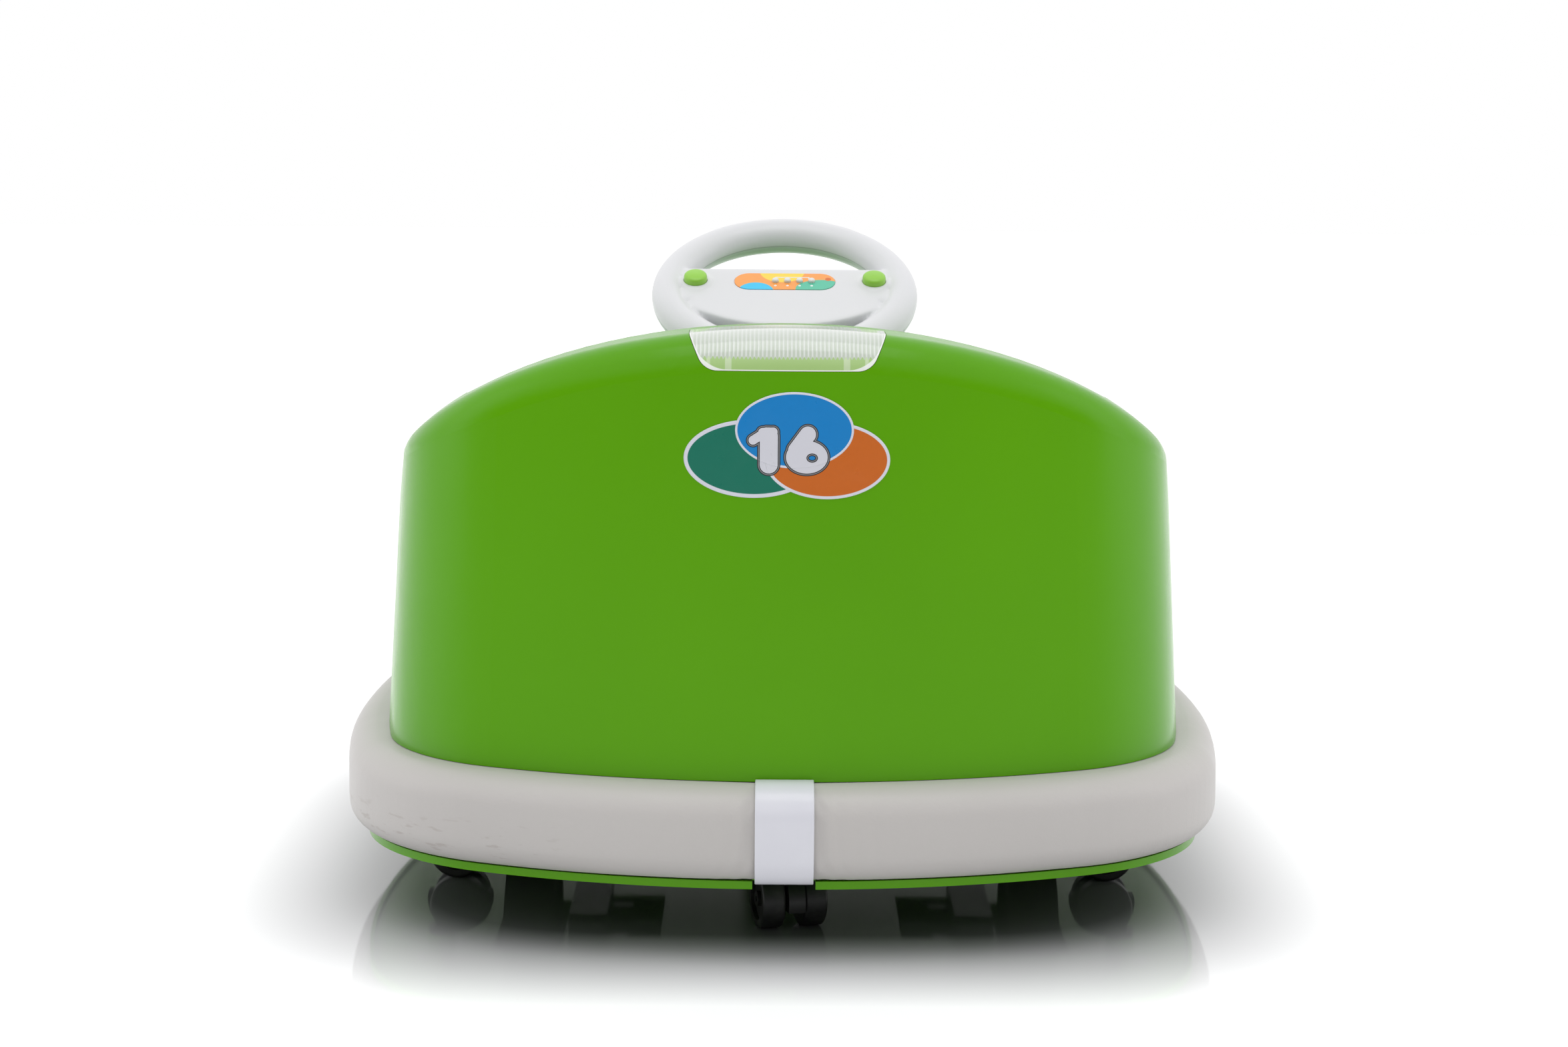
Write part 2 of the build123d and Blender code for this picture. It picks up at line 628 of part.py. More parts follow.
# ---------------------------------------------------------------- battery and control board
battery = box_between((-75, -143, floor_top), (75, -78, floor_top + 92))
battery = fillet(battery.edges().filter_by(Axis.Z), 3)
for x in (-60, 60):
    battery += box_between((x - 3, -95, floor_top + 92), (x + 3, -94, floor_top + 98))
save(battery, "battery")
strap = box_between((-78, -118, floor_top), (78, -104, floor_top + 94.3))
strap -= box_between((-75.3, -119, floor_top - 1), (75.3, -103, floor_top + 92.3))
for side in (-1, 1):
    low_x = min(side * 78, side * 90)
    strap += box_between((low_x, -118, floor_top), (low_x + 12, -104, floor_top + 2))
save(strap, "battery_strap")

control = box_between((-42, -55, board_low), (42, -5, board_low + 1.6))
for x in (-28, -8, 12):
    control += box_between((x, -48, board_low + 1.6), (x + 15, -30, board_low + 16))
control += box_between((-30, -22, board_low + 1.6), (28, -10, board_low + 10))
save(control, "control_board")


# ---------------------------------------------------------------- foot pedal
pedal_x = 70.0
pedal_y = well_rear[0] + 36.0
pedal_lift = 25.0
pedal_length = 78.0
pedal_width = 64.0
hinge_z = well_rear[1] + 8.0
pin_radius = 2.5
base = box_between((pedal_x - 42, pedal_y - 8, well_rear[1]),
                   (pedal_x + 42, pedal_y + 58, well_rear[1] + 2.5))
for side in (-1, 1):
    low_x = min(pedal_x + side * 36, pedal_x + side * 42)
    base += box_between((low_x, pedal_y - 8, well_rear[1]), (low_x + 6, pedal_y + 8, hinge_z + 7))
base -= rod_x(pedal_x - 50, pedal_x + 50, pedal_y, hinge_z, pin_radius)
save(base, "pedal_base")
tread = Pos(0, pedal_length / 2, 2.5) * Box(pedal_width, pedal_length, 5)
tread = fillet(tread.edges().filter_by(Axis.Z), 10)
for step in range(5):
    tread += Pos(0, 22 + 13 * step, 5.5) * Box(pedal_width - 18, 4, 2)
pedal = Pos(pedal_x, pedal_y, hinge_z) * Rot(pedal_lift, 0, 0) * tread
pedal += rod_x(pedal_x - 35.5, pedal_x + 35.5, pedal_y, hinge_z, 5.5)
pedal -= rod_x(pedal_x - 50, pedal_x + 50, pedal_y, hinge_z, pin_radius + run_gap)
save(pedal, "foot_pedal")
pin = rod_x(pedal_x - 43.5, pedal_x + 43.5, pedal_y, hinge_z, pin_radius)
pin += rod_x(pedal_x + 42.0, pedal_x + 43.8, pedal_y, hinge_z, 4)
save(pin, "pedal_pin")
micro = box_between((pedal_x - 10, pedal_y + 46, well_rear[1] + 2.5),
                    (pedal_x + 10, pedal_y + 53, well_rear[1] + 11))
micro += rod_z(pedal_x + 3, pedal_y + 49, well_rear[1] + 10, well_rear[1] + 13, 1.5)
switches.append(micro.solids()[0])
save(Compound(children=switches), "micro_switches")


# ---------------------------------------------------------------- gears
def gear_blank(teeth, width, phase):
    """Spur gear in the plane of Y and Z, tooth centred at phase degrees from +Y, along +X."""
    pitch = gear_module * teeth / 2
    tip = pitch + 0.9 * gear_module
    root = pitch - 1.2 * gear_module
    step = 2 * pi / teeth
    points = []
    for i in range(teeth):
        middle = i * step
        for share, radius in ((-0.27, root), (-0.21, pitch), (-0.09, tip), (0.09, tip),
                              (0.21, pitch), (0.27, root)):
            angle = middle + share * step
            points.append((radius * cos(angle), radius * sin(angle)))
    face = make_face(Plane.YZ * Polyline(*points, close=True)).faces()[0]
    return Rot(phase, 0, 0) * extrude(face, width)


def at_polar(start, distance, angle):
    return (start[0] + distance * cos(radians(angle)), start[1] + distance * sin(radians(angle)))


low_angle = 30.0          # from the wheel's axle up to the idler
high_angle = 10.0         # from the idler up to the motor
low_centres = gear_module * (idler_small_teeth + output_teeth) / 2 + gear_backlash
high_centres = gear_module * (pinion_teeth + idler_large_teeth) / 2 + gear_backlash
axle_at = (wheel_y, wheel_radius)
idler_at = at_polar(axle_at, low_centres, low_angle)
motor_at = at_polar(idler_at, high_centres, high_angle)
pin_reach = 1.8
hub_half = 17.0
hub_radius = wheel_radius - 11.0
rib_length = hub_radius - 12.0
rib_middle = 10.0 + rib_length / 2
axle_end = wheel_x + 24.0
gear_x = case_inner_x + 10.5


def mirrored(shape, side):
    return shape if side > 0 else mirror(shape, about=Plane.YZ)


lids = []
motors = []
for side, name in ((-1, "left"), (1, "right")):
    gap_small = low_angle + 180.0 - 180.0 / idler_small_teeth
    gap_pinion = high_angle + 180.0 - 180.0 / pinion_teeth
    gear = Pos(gear_x, *axle_at) * gear_blank(output_teeth, 8.5, low_angle)
    gear -= rod_x(gear_x - 5, gear_x + 12, *axle_at, axle_radius)
    gear = mirrored(gear, side)

    idler = Pos(gear_x - 1.0, *idler_at) * gear_blank(idler_small_teeth, 10.5, gap_small)
    idler += Pos(gear_x - 7.0, *idler_at) * gear_blank(idler_large_teeth, 6.0, high_angle)
    idler += rod_x(case_inner_x - 1.5, case_outer_x - case_wall + pin_reach, *idler_at, 2.0)
    save(mirrored(idler, side), "idler_gear_" + name)

    pinion = Pos(gear_x - 7.5, *motor_at) * gear_blank(pinion_teeth, 7.0, gap_pinion)
    pinion += rod_x(gear_x - 47.5, gear_x - 0.5, *motor_at, 1.5)
    save(mirrored(pinion, side), "motor_pinion_" + name)

    case = box_between((case_inner_x, case_rear, case_bottom), (case_outer_x, case_front, case_top))
    case = fillet(case.edges().filter_by(Axis.X), 8)
    room = box_between((case_inner_x - 1, case_rear + case_wall, case_bottom + 1.6),
                       (case_outer_x - case_wall, case_front - case_wall, case_top - case_wall))
    case -= fillet(room.edges().filter_by(Axis.X), 6)
    case += rod_x(case_outer_x - 4.5, case_outer_x, *idler_at, 4.5)
    case -= rod_x(gear_x + 2.5, case_outer_x + 7, *axle_at, axle_radius + run_gap)
    case -= rod_x(gear_x + 2.5, case_outer_x - case_wall + pin_reach + 0.3, *idler_at, 2.0 + run_gap)
    save(mirrored(case, side), "gearbox_case_" + name)

    lid_x = case_inner_x - 3.0
    lid = box_between((lid_x, case_rear, case_bottom), (case_inner_x, case_front, case_top))
    lid = fillet(lid.edges().filter_by(Axis.X), 8)
    lid -= rod_x(case_inner_x - 1.8, case_inner_x + 1, *idler_at, 2.0 + run_gap)
    lid -= rod_x(lid_x - 4, lid_x + 6, *motor_at, 4.0)
    lid += box_between((lid_x - 16, case_rear + 8, floor_top), (lid_x, case_rear + 22, floor_top + 3))
    lid += box_between((lid_x - 16, case_front - 22, floor_top), (lid_x, case_front - 8, floor_top + 3))
    lids.append(mirrored(lid, side).solids()[0])

    can = rod_x(lid_x - motor_length, lid_x, *motor_at, motor_radius)
    can -= rod_x(lid_x - motor_length + 2, lid_x + 1, *motor_at, 1.5 + run_gap)
    motors.append(mirrored(can, side).solids()[0])

    tyre = rod_x(wheel_x - wheel_width / 2, wheel_x + wheel_width / 2, *axle_at, wheel_radius)
    tyre = fillet(tyre.edges().filter_by(GeomType.CIRCLE), 3)
    tyre -= rod_x(wheel_x - 30, wheel_x + 30, *axle_at, hub_radius)
    save(mirrored(tyre, side), "drive_tyre_" + name)

    hub_ring = rod_x(wheel_x - hub_half, wheel_x + hub_half, *axle_at, hub_radius)
    hub = hub_ring - rod_x(wheel_x - 20, wheel_x + 20, *axle_at, hub_radius - 3.5)
    hub += rod_x(wheel_x - 2, wheel_x + 4, *axle_at, hub_radius - 2)
    hub += rod_x(wheel_x - hub_half, wheel_x + hub_half, *axle_at, 13)
    for step in range(5):
        rib = Rot(72 * step, 0, 0) * Pos(0, 0, rib_middle) * Box(20, 6, rib_length)
        rib = Pos(wheel_x + 6, *axle_at) * rib
        hub += rib & rod_x(wheel_x - hub_half, wheel_x + hub_half, *axle_at, hub_radius - 2)
    hub -= rod_x(wheel_x - 30, wheel_x + 30, *axle_at, axle_radius)
    save(mirrored(hub, side), "drive_hub_" + name)

    axle = rod_x(gear_x, axle_end, *axle_at, axle_radius)
    nut = rod_x(wheel_x + hub_half, wheel_x + 21.5, *axle_at, 6.5)
    nut -= rod_x(wheel_x + 10, axle_end + 14, *axle_at, axle_radius)
    pieces = [mirrored(axle, side).solids()[0], mirrored(nut, side).solids()[0], gear.solids()[0]]
    save(Compound(children=pieces), "drive_axle_" + name)


save(Compound(children=lids), "gearbox_lids")
save(Compound(children=motors), "drive_motors")


# ---------------------------------------------------------------- casters
hood_top = socket_bottom - face_gap
for name, x, y, heading in caster_places:
    place = Pos(x, y, 0) * Rot(0, 0, heading)
    twin_width = caster_width / 2
    middle = Pos(caster_trail, 0, caster_radius) * Rot(90, 0, 0) * Cylinder(caster_radius + 3.4, 12)
    hood = middle & box_between((-60, -6, caster_radius - 6), (60, 6, hood_top))
    hood += box_between((-4, -6, 30), (caster_trail, 6, hood_top - 4))
    hood += rod_z(0, 0, hood_top - 6, hood_top, 9.5)
    hood += rod_z(0, 0, hood_top, socket_top - 4, caster_stem)
    hood -= Pos(caster_trail, 0, caster_radius) * Rot(90, 0, 0) * Cylinder(2.0 + run_gap, 60)
    save(place * hood.solids().sort_by(SortBy.VOLUME)[-1], "caster_%s_swivel" % name)
    wheels = []
    for side in (-1, 1):
        disc = Pos(caster_trail, side * (twin_width / 2 + 3.4), caster_radius) * Rot(90, 0, 0) * Cylinder(
            caster_radius, twin_width - 6.8)
        disc = fillet(disc.edges().filter_by(GeomType.CIRCLE), 2.5)
        disc -= Pos(caster_trail, side * (twin_width + 3), caster_radius) * Rot(90, 0, 0) * (
            Cylinder(15, 12) - Cylinder(5.5, 12))
        disc -= Pos(caster_trail, 0, caster_radius) * Rot(90, 0, 0) * Cylinder(2.0, 60)
        wheels.append((place * disc).solids()[0])
    spindle = Pos(caster_trail, 0, caster_radius) * Rot(90, 0, 0) * Cylinder(2.0, caster_width - 5)
    wheels.append((place * spindle).solids()[0])
    save(Compound(children=wheels), "caster_%s_wheels" % name)


# ---------------------------------------------------------------- screws
screws = []
for x, y in boss_places:
    screw = rod_z(x, y, pan_bottom - screw_head_height, pan_bottom, screw_head_radius)
    screw += rod_z(x, y, pan_bottom, ring_bottom + boss_height - 8, screw_radius)
    screws.append(screw.solids()[0])
for side in (-1, 1):
    x = side * (plate_u + plate_thick + 8)
    screw = rod_z(x, foot_y - 2, floor_top + 4, floor_top + 6.2, screw_head_radius)
    screw += rod_z(x, foot_y - 2, floor_top, floor_top + 4, screw_radius)
    screws.append(screw.solids()[0])
save(Compound(children=screws), "chassis_screws")
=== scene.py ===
import json
import math

import bmesh
import bpy
from mathutils import Matrix, Vector
from mathutils.bvhtree import BVHTree


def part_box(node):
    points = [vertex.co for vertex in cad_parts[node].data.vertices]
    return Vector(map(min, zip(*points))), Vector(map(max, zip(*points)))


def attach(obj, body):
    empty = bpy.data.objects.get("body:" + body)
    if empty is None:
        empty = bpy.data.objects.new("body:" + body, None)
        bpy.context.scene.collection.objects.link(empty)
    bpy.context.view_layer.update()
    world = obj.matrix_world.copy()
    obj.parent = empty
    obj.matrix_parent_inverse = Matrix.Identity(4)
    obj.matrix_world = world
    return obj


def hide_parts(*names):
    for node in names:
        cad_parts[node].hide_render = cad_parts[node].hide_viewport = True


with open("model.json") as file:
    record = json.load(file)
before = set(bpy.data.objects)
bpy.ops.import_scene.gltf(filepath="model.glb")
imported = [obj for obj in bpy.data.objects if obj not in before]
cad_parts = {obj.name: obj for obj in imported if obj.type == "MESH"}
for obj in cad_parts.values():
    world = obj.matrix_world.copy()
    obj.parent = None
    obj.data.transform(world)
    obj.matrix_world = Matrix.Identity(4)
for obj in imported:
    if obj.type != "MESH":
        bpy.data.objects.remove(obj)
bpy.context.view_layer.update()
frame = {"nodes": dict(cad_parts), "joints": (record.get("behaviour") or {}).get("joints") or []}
nodes = frame["nodes"]
MM = 0.001


# Floor and studio. A pale, polished sheet that mirrors the underside, darkened under the car by painted
# shade and reflection and given a painted glow further out; soft boxes to the left, right and above, and a
# white room. The camera looks at the car's back from a child's height.
stage_scene = bpy.context.scene
stage_scene.view_settings.view_transform = "Standard"
FLOOR_HALF = 12.0
LENS_LENGTH = 68.97
SENSOR_WIDTH = 36.0
CAMERA_BACK = 2.315
CAMERA_HEIGHT = 0.573
CAMERA_SIDE = -0.015
CAMERA_PITCH = math.radians(7.86)
CAMERA_YAW = math.radians(-0.38)
CAMERA_ROLL = math.radians(0.45)
ROOM_SHADE = 0.86
FLOOR_FADE_START = 0.27
FLOOR_FADE_LENGTH = 0.17
FLOOR_PAINTED_SHADE = (0.16, 0.16, 0.17)
FLOOR_PALE = (0.80, 0.80, 0.81)
FLOOR_PAINTED_GLOW = (0.42, 0.42, 0.43)
TOP_WATTS = 11
SIDE_WATTS = 2


class Wire:
    """One socket of a material, so that shader maths reads as plain arithmetic."""

    def __init__(self, paint, socket):
        self.paint = paint
        self.socket = socket

    def maths(self, operation, first, second=0.0, third=0.0):
        return self.paint.node("ShaderNodeMath", {"operation": operation}, {0: first, 1: second, 2: third})

    def __add__(self, other):
        return self.maths("ADD", self, other)

    def __radd__(self, other):
        return self.maths("ADD", other, self)

    def __sub__(self, other):
        return self.maths("SUBTRACT", self, other)

    def __rsub__(self, other):
        return self.maths("SUBTRACT", other, self)

    def __mul__(self, other):
        return self.maths("MULTIPLY", self, other)

    def __rmul__(self, other):
        return self.maths("MULTIPLY", other, self)

    def __truediv__(self, other):
        return self.maths("DIVIDE", self, other)

    def __abs__(self):
        return self.maths("ABSOLUTE", self)

    def cosine(self):
        return self.maths("COSINE", self)

    def power(self, other):
        return self.maths("POWER", self, other)

    def least(self, other):
        return self.maths("MINIMUM", self, other)

    def most(self, other):
        return self.maths("MAXIMUM", self, other)

    def below(self, edge, soft):
        """1 where this is under edge, 0 above it, over a band 2 soft wide."""
        return self.paint.node("ShaderNodeMapRange", {"interpolation_type": "SMOOTHSTEP"},
                               {0: self, 1: edge - soft, 2: edge + soft, 3: 1.0, 4: 0.0})


class Paint:
    """One material: its shader's constants, and the nodes that vary it."""

    def __init__(self, name, colour, roughness, **constants):
        self.material = bpy.data.materials.new(name)
        self.material.use_nodes = True
        self.tree = self.material.node_tree
        self.shader = self.tree.nodes["Principled BSDF"]
        self.shader.inputs["Base Color"].default_value = (*colour, 1.0)
        self.shader.inputs["Roughness"].default_value = roughness
        for key, value in constants.items():
            self.shader.inputs[key.replace("_", " ")].default_value = value

    def node(self, kind, settings=None, values=None, output=0):
        """Adds a node of any type, with its settings first and then its sockets' values or links."""
        node = self.tree.nodes.new(kind)
        for key, value in (settings or {}).items():
            if key == "stops":
                for stop, (place, colour) in zip(node.color_ramp.elements, value):
                    stop.position = place
                    stop.color = colour
            else:
                setattr(node, key, value)
        for key, value in (values or {}).items():
            if isinstance(value, Wire):
                self.tree.links.new(value.socket, node.inputs[key])
            else:
                node.inputs[key].default_value = value
        return Wire(self, node.outputs[output])

    def place(self):
        return self.node("ShaderNodeTexCoord", output="Object")

    def axes(self):
        place = self.place()
        return [self.node("ShaderNodeSeparateXYZ", {}, {0: place}, axis) for axis in range(3)]

    def noise(self, scale, detail=3.0, stretch=(1.0, 1.0, 1.0)):
        spot = self.node("ShaderNodeMapping", {}, {0: self.place(), "Scale": stretch})
        return self.node("ShaderNodeTexNoise", {}, {"Vector": spot, "Scale": scale, "Detail": detail})

    def mix(self, share, low, high):
        """A colour between low and high."""
        low = low if isinstance(low, Wire) else (*low, 1.0)
        high = high if isinstance(high, Wire) else (*high, 1.0)
        return self.node("ShaderNodeMix", {"data_type": "RGBA"}, {0: share, 6: low, 7: high}, 2)

    def feed(self, socket, wire):
        self.tree.links.new(wire.socket, self.shader.inputs[socket])

    def bump(self, height, distance, strength=1.0):
        """Tilts the surface by height, where 1 stands distance metres proud."""
        self.feed("Normal", self.node("ShaderNodeBump", {}, {"Height": height, "Distance": distance,
                                                             "Strength": strength}))

    def dress(self, *names):
        """Puts this material on CAD nodes that keep their own shape."""
        for name in names:
            for place in nodes[name].material_slots:
                place.material = self.material


def sheet_mesh(name, rows, closed_u=False, closed_v=False):
    """A mesh from rows of points, each row joined to the next."""
    count = len(rows[0])
    points = [p for row in rows for p in row]
    faces = []
    for i in range(len(rows) if closed_v else len(rows) - 1):
        for j in range(count if closed_u else count - 1):
            below = i * count
            above = (i + 1) % len(rows) * count
            faces.append((below + j, below + (j + 1) % count, above + (j + 1) % count, above + j))
    mesh = bpy.data.meshes.new(name)
    mesh.from_pydata(points, [], faces)
    mesh.polygons.foreach_set("use_smooth", [True] * len(mesh.polygons))
    piece = bpy.data.objects.new(name, mesh)
    stage_scene.collection.objects.link(piece)
    return piece


floor_paint = Paint("polished_pale_floor", FLOOR_PALE, 0.06, IOR=1.9, Emission_Strength=1.0)
floor_haze = floor_paint.noise(3.0, 4.0)
floor_paint.feed("Roughness", 0.04 + 0.03 * floor_haze)
across, along, up = floor_paint.axes()
painted_shade_to_glow = ((across.power(4.0) + along.power(4.0)).power(0.25) - FLOOR_FADE_START) / FLOOR_FADE_LENGTH
painted_shade_to_glow = painted_shade_to_glow.most(0.0).least(1.0)
# Painted shade and reflection: the floor's colour is dark under the car and pale away from it.
floor_paint.feed("Base Color", floor_paint.mix(painted_shade_to_glow, FLOOR_PAINTED_SHADE, FLOOR_PALE))
# Painted glow: away from the car the floor emits light, though it is no lamp.
floor_paint.feed("Emission Color", floor_paint.mix(painted_shade_to_glow.power(1.4), (0.0, 0.0, 0.0), FLOOR_PAINTED_GLOW))
floor = sheet_mesh("floor", [[(-FLOOR_HALF, -FLOOR_HALF, 0), (FLOOR_HALF, -FLOOR_HALF, 0)],
                             [(-FLOOR_HALF, FLOOR_HALF, 0), (FLOOR_HALF, FLOOR_HALF, 0)]])
floor.data.materials.append(floor_paint.material)

world = bpy.data.worlds.new("white_room")
stage_scene.world = world
world.use_nodes = True


class Room(Paint):
    """The white room round the object, which can be brighter on some sides."""

    def __init__(self, world):
        self.tree = world.node_tree
        self.shader = self.tree.nodes["Background"]


room = Room(world)
bearing = room.node("ShaderNodeTexCoord", output="Generated")
across, along, up = [room.node("ShaderNodeSeparateXYZ", {}, {0: bearing}, axis) for axis in range(3)]
behind_camera = along.below(-0.25, 0.3) * up.below(0.42, 0.25)
room.feed("Strength", 1.0 - ROOM_SHADE * behind_camera)
room.shader.inputs["Color"].default_value = (1.0, 1.0, 1.0, 1.0)


def soft_box(name, place, target, width, height, watts):
    lamp = bpy.data.lights.new(name, "AREA")
    lamp.shape = "RECTANGLE"
    lamp.size = width
    lamp.size_y = height
    lamp.energy = watts
    stand = bpy.data.objects.new(name, lamp)
    stand.location = place
    stand.rotation_euler = (Vector(target) - Vector(place)).to_track_quat("-Z", "Y").to_euler()
    stage_scene.collection.objects.link(stand)


soft_box("soft_box_top", (0, -0.75, 2.4), (0, 0, 0.2), 1.8, 1.2, TOP_WATTS)
soft_box("soft_box_left", (-1.9, -0.3, 1.0), (0, 0, 0.25), 0.9, 1.6, SIDE_WATTS)
soft_box("soft_box_right", (1.9, -0.3, 1.0), (0, 0, 0.25), 0.9, 1.6, SIDE_WATTS)

eye = bpy.data.cameras.new("camera")
eye.lens = LENS_LENGTH
eye.sensor_width = SENSOR_WIDTH
camera = bpy.data.objects.new("camera", eye)
camera.location = (CAMERA_SIDE, -CAMERA_BACK, CAMERA_HEIGHT)
aim = Matrix.Rotation(CAMERA_YAW, 3, "Z") @ Matrix.Rotation(math.pi / 2 - CAMERA_PITCH, 3, "X")
camera.rotation_euler = (aim @ Matrix.Rotation(CAMERA_ROLL, 3, "Z")).to_euler()
stage_scene.collection.objects.link(camera)
stage_scene.camera = camera


# Base pan, outer shell and seat tub. Lime green polypropylene, injection moulded and left
# glossy; the shell's shoulder sits over the bumper and eight screws hold it to the pan.
GREEN = (0.112, 0.385, 0.0005)
GREEN_DEEP = (0.096, 0.34, 0.0004)
green = Paint("green_gloss_plastic", GREEN, 0.2, IOR=1.38, Specular_IOR_Level=0.32)
flow = green.noise(5.0, 4.0)
fine = green.noise(900.0, 2.0)
green.feed("Base Color", green.mix(flow, GREEN, GREEN_DEEP))
green.feed("Roughness", 0.19 + 0.08 * green.noise(40.0, 5.0))
green.bump(green.noise(220.0, 2.0) * 0.7 + fine * 0.3, 0.00006, 0.5)
green.dress("body_shell", "seat_tub", "base_pan")


# Bumper ring. Closed-cell foam in an off-white vinyl sleeve, gathered a little where the clip
# pinches its ends together; the cover is faintly scuffed low on the rear left, and its lower band is
# darkened with painted shade.
VINYL = (0.58, 0.556, 0.54)
VINYL_GRIME_AND_SHADE = (0.49, 0.466, 0.45)
SCUFF_BROWN = (0.30, 0.24, 0.21)
RING_STEPS = 900
RING_DEPTH = 0.0415
TOP_ROUND = 0.0215
FOOT_ROUND = 0.0185
INNER_ROUND = 0.007
COVER_CROWN = 0.0016
LUMP_HEIGHT = 0.0003
PINCH_REACH = 0.020
PINCH_DEPTH = 0.0014
PINCH_SQUASH = 0.012
CREASE_DEPTH = 0.0011
clip_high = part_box("bumper_clip")[1]
ring_low, ring_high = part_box("bumper_ring")


def skin_tree(name):
    mesh = nodes[name].data
    return BVHTree.FromPolygons([v.co for v in mesh.vertices], [p.vertices for p in mesh.polygons])


def ring_outline(height):
    """Points and outward directions round the bumper's outer face."""
    tree = skin_tree("bumper_ring")
    points = []
    for step in range(RING_STEPS):
        angle = 2 * math.pi * step / RING_STEPS
        way = Vector((math.cos(angle), math.sin(angle), 0))
        hit = tree.ray_cast(way + Vector((0, 0, height)), -way)[0]
        points.append(Vector((hit.x, hit.y, 0)))
    outward = []
    for step in range(RING_STEPS):
        along = points[(step + 4) % RING_STEPS] - points[step - 4]
        outward.append(Vector((along.y, -along.x, 0)).normalized())
    return points, outward


def rounded_section(corners, steps=9):
    """Closed outline (depth, height) with an arc at each corner: (depth, height, radius, start)."""
    outline = []
    for depth, height, radius, start in corners:
        for step in range(steps + 1):
            angle = math.radians(start - 90 * step / steps)
            outline.append((depth + radius * math.cos(angle), height + radius * math.sin(angle)))
    return outline


ring_middle = (ring_low.z + ring_high.z) / 2
ring_half = (ring_high.z - ring_low.z) / 2
ring_points, ring_outward = ring_outline(ring_middle)
section = rounded_section((
    (-TOP_ROUND, ring_high.z - TOP_ROUND, TOP_ROUND, 90),
    (-FOOT_ROUND, ring_low.z + FOOT_ROUND, FOOT_ROUND, 0),
    (-RING_DEPTH + INNER_ROUND, ring_low.z + INNER_ROUND, INNER_ROUND, -90),
    (-RING_DEPTH + INNER_ROUND, ring_high.z - INNER_ROUND, INNER_ROUND, -180),
))
ring_rows = []
for point, outward in zip(ring_points, ring_outward):
    row = []
    from_clip = abs(point.x) - clip_high.x if point.y < 0 else 1.0
    pinch = math.exp(-max(from_clip, 0.0) / PINCH_REACH) if from_clip < 0.2 else 0.0
    for depth, height in section:
        share = (height - ring_middle) / ring_half
        crown = COVER_CROWN * (1 - share * share) - COVER_CROWN
        crease = 0.0
        if from_clip > 0:
            crease = CREASE_DEPTH * math.sin(from_clip * 520 + 9 * share) * math.cos(7 * share + 1.2)
        swell = crown - pinch * (PINCH_DEPTH + crease) if depth > -0.02 else 0.0
        lumps = LUMP_HEIGHT * math.sin(point.x * 47 + point.y * 31) * math.sin(share * 2.2 + point.x * 19)
        spot = point + outward * (depth + swell + lumps * (depth > -0.03))
        row.append((spot.x, spot.y, ring_middle + (height - ring_middle) * (1 - PINCH_SQUASH * pinch)))
    ring_rows.append(row)
bumper = sheet_mesh("bumper_cover", ring_rows, closed_u=True, closed_v=True)
vinyl = Paint("off_white_vinyl", VINYL, 0.42, IOR=1.5)
across, along, up = vinyl.axes()
grime = vinyl.noise(6.0, 6.0)
# Painted shade: the cover darkens towards its foot, below 75 mm.
painted_low_shade = (0.075 - up) * 22.0
scuff_spot = vinyl.noise(55.0, 8.0, (1.0, 1.0, 5.0)).below(0.37, 0.05)
scuff_zone = ((across + 0.235) * 9.0).power(2.0).below(0.5, 0.4) * along.below(-0.1, 0.02)
scuff = scuff_spot * scuff_zone * up.below(0.085, 0.012)
# The blotches are real grime; the darkening of the lower band is painted shade.
clean = vinyl.mix(grime * 0.45 + painted_low_shade.most(0.0) * 0.4, VINYL, VINYL_GRIME_AND_SHADE)
vinyl.feed("Base Color", vinyl.mix(scuff * 0.28, clean, SCUFF_BROWN))
vinyl.feed("Roughness", 0.36 + 0.14 * vinyl.noise(25.0, 4.0) + 0.1 * scuff)
grain = vinyl.node("ShaderNodeTexVoronoi", {"feature": "SMOOTH_F1"},
                   {"Vector": vinyl.place(), "Scale": 650.0, "Smoothness": 0.6})
vinyl.bump(grain * 0.6 + vinyl.noise(95.0, 5.0) * 0.8, 0.00022, 0.55)
bumper.data.materials.append(vinyl.material)
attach(bumper, "chassis")
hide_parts("bumper_ring")


# Bumper clip. One white moulded band that hooks over the ring's ends, top and bottom.
CLIP_WHITE = (0.78, 0.78, 0.84)
CLIP_STEPS = 14
CLIP_WALL = 0.0021
CLIP_CLEARANCE = 0.0004
clip_half = clip_high.x - CLIP_WALL / 2


def clip_profile():
    """Points (y, z) down the clip's outer face, from its top hook to its bottom one."""
    points = []
    grow = CLIP_CLEARANCE
    face = ring_low.y - grow
    top = ring_high.z + grow
    foot = ring_low.z - grow
    reach = clip_high.y
    points.append((reach, top))
    for step in range(11):
        angle = math.radians(90 + 9 * step)
        points.append((face + TOP_ROUND + grow + (TOP_ROUND + grow) * math.cos(angle),
                       top - TOP_ROUND - grow + (TOP_ROUND + grow) * math.sin(angle)))
    for step in range(11):
        angle = math.radians(180 + 9 * step)
        points.append((face + FOOT_ROUND + grow + (FOOT_ROUND + grow) * math.cos(angle),
                       foot + FOOT_ROUND + grow + (FOOT_ROUND + grow) * math.sin(angle)))
    points.append((reach, foot))
    return points


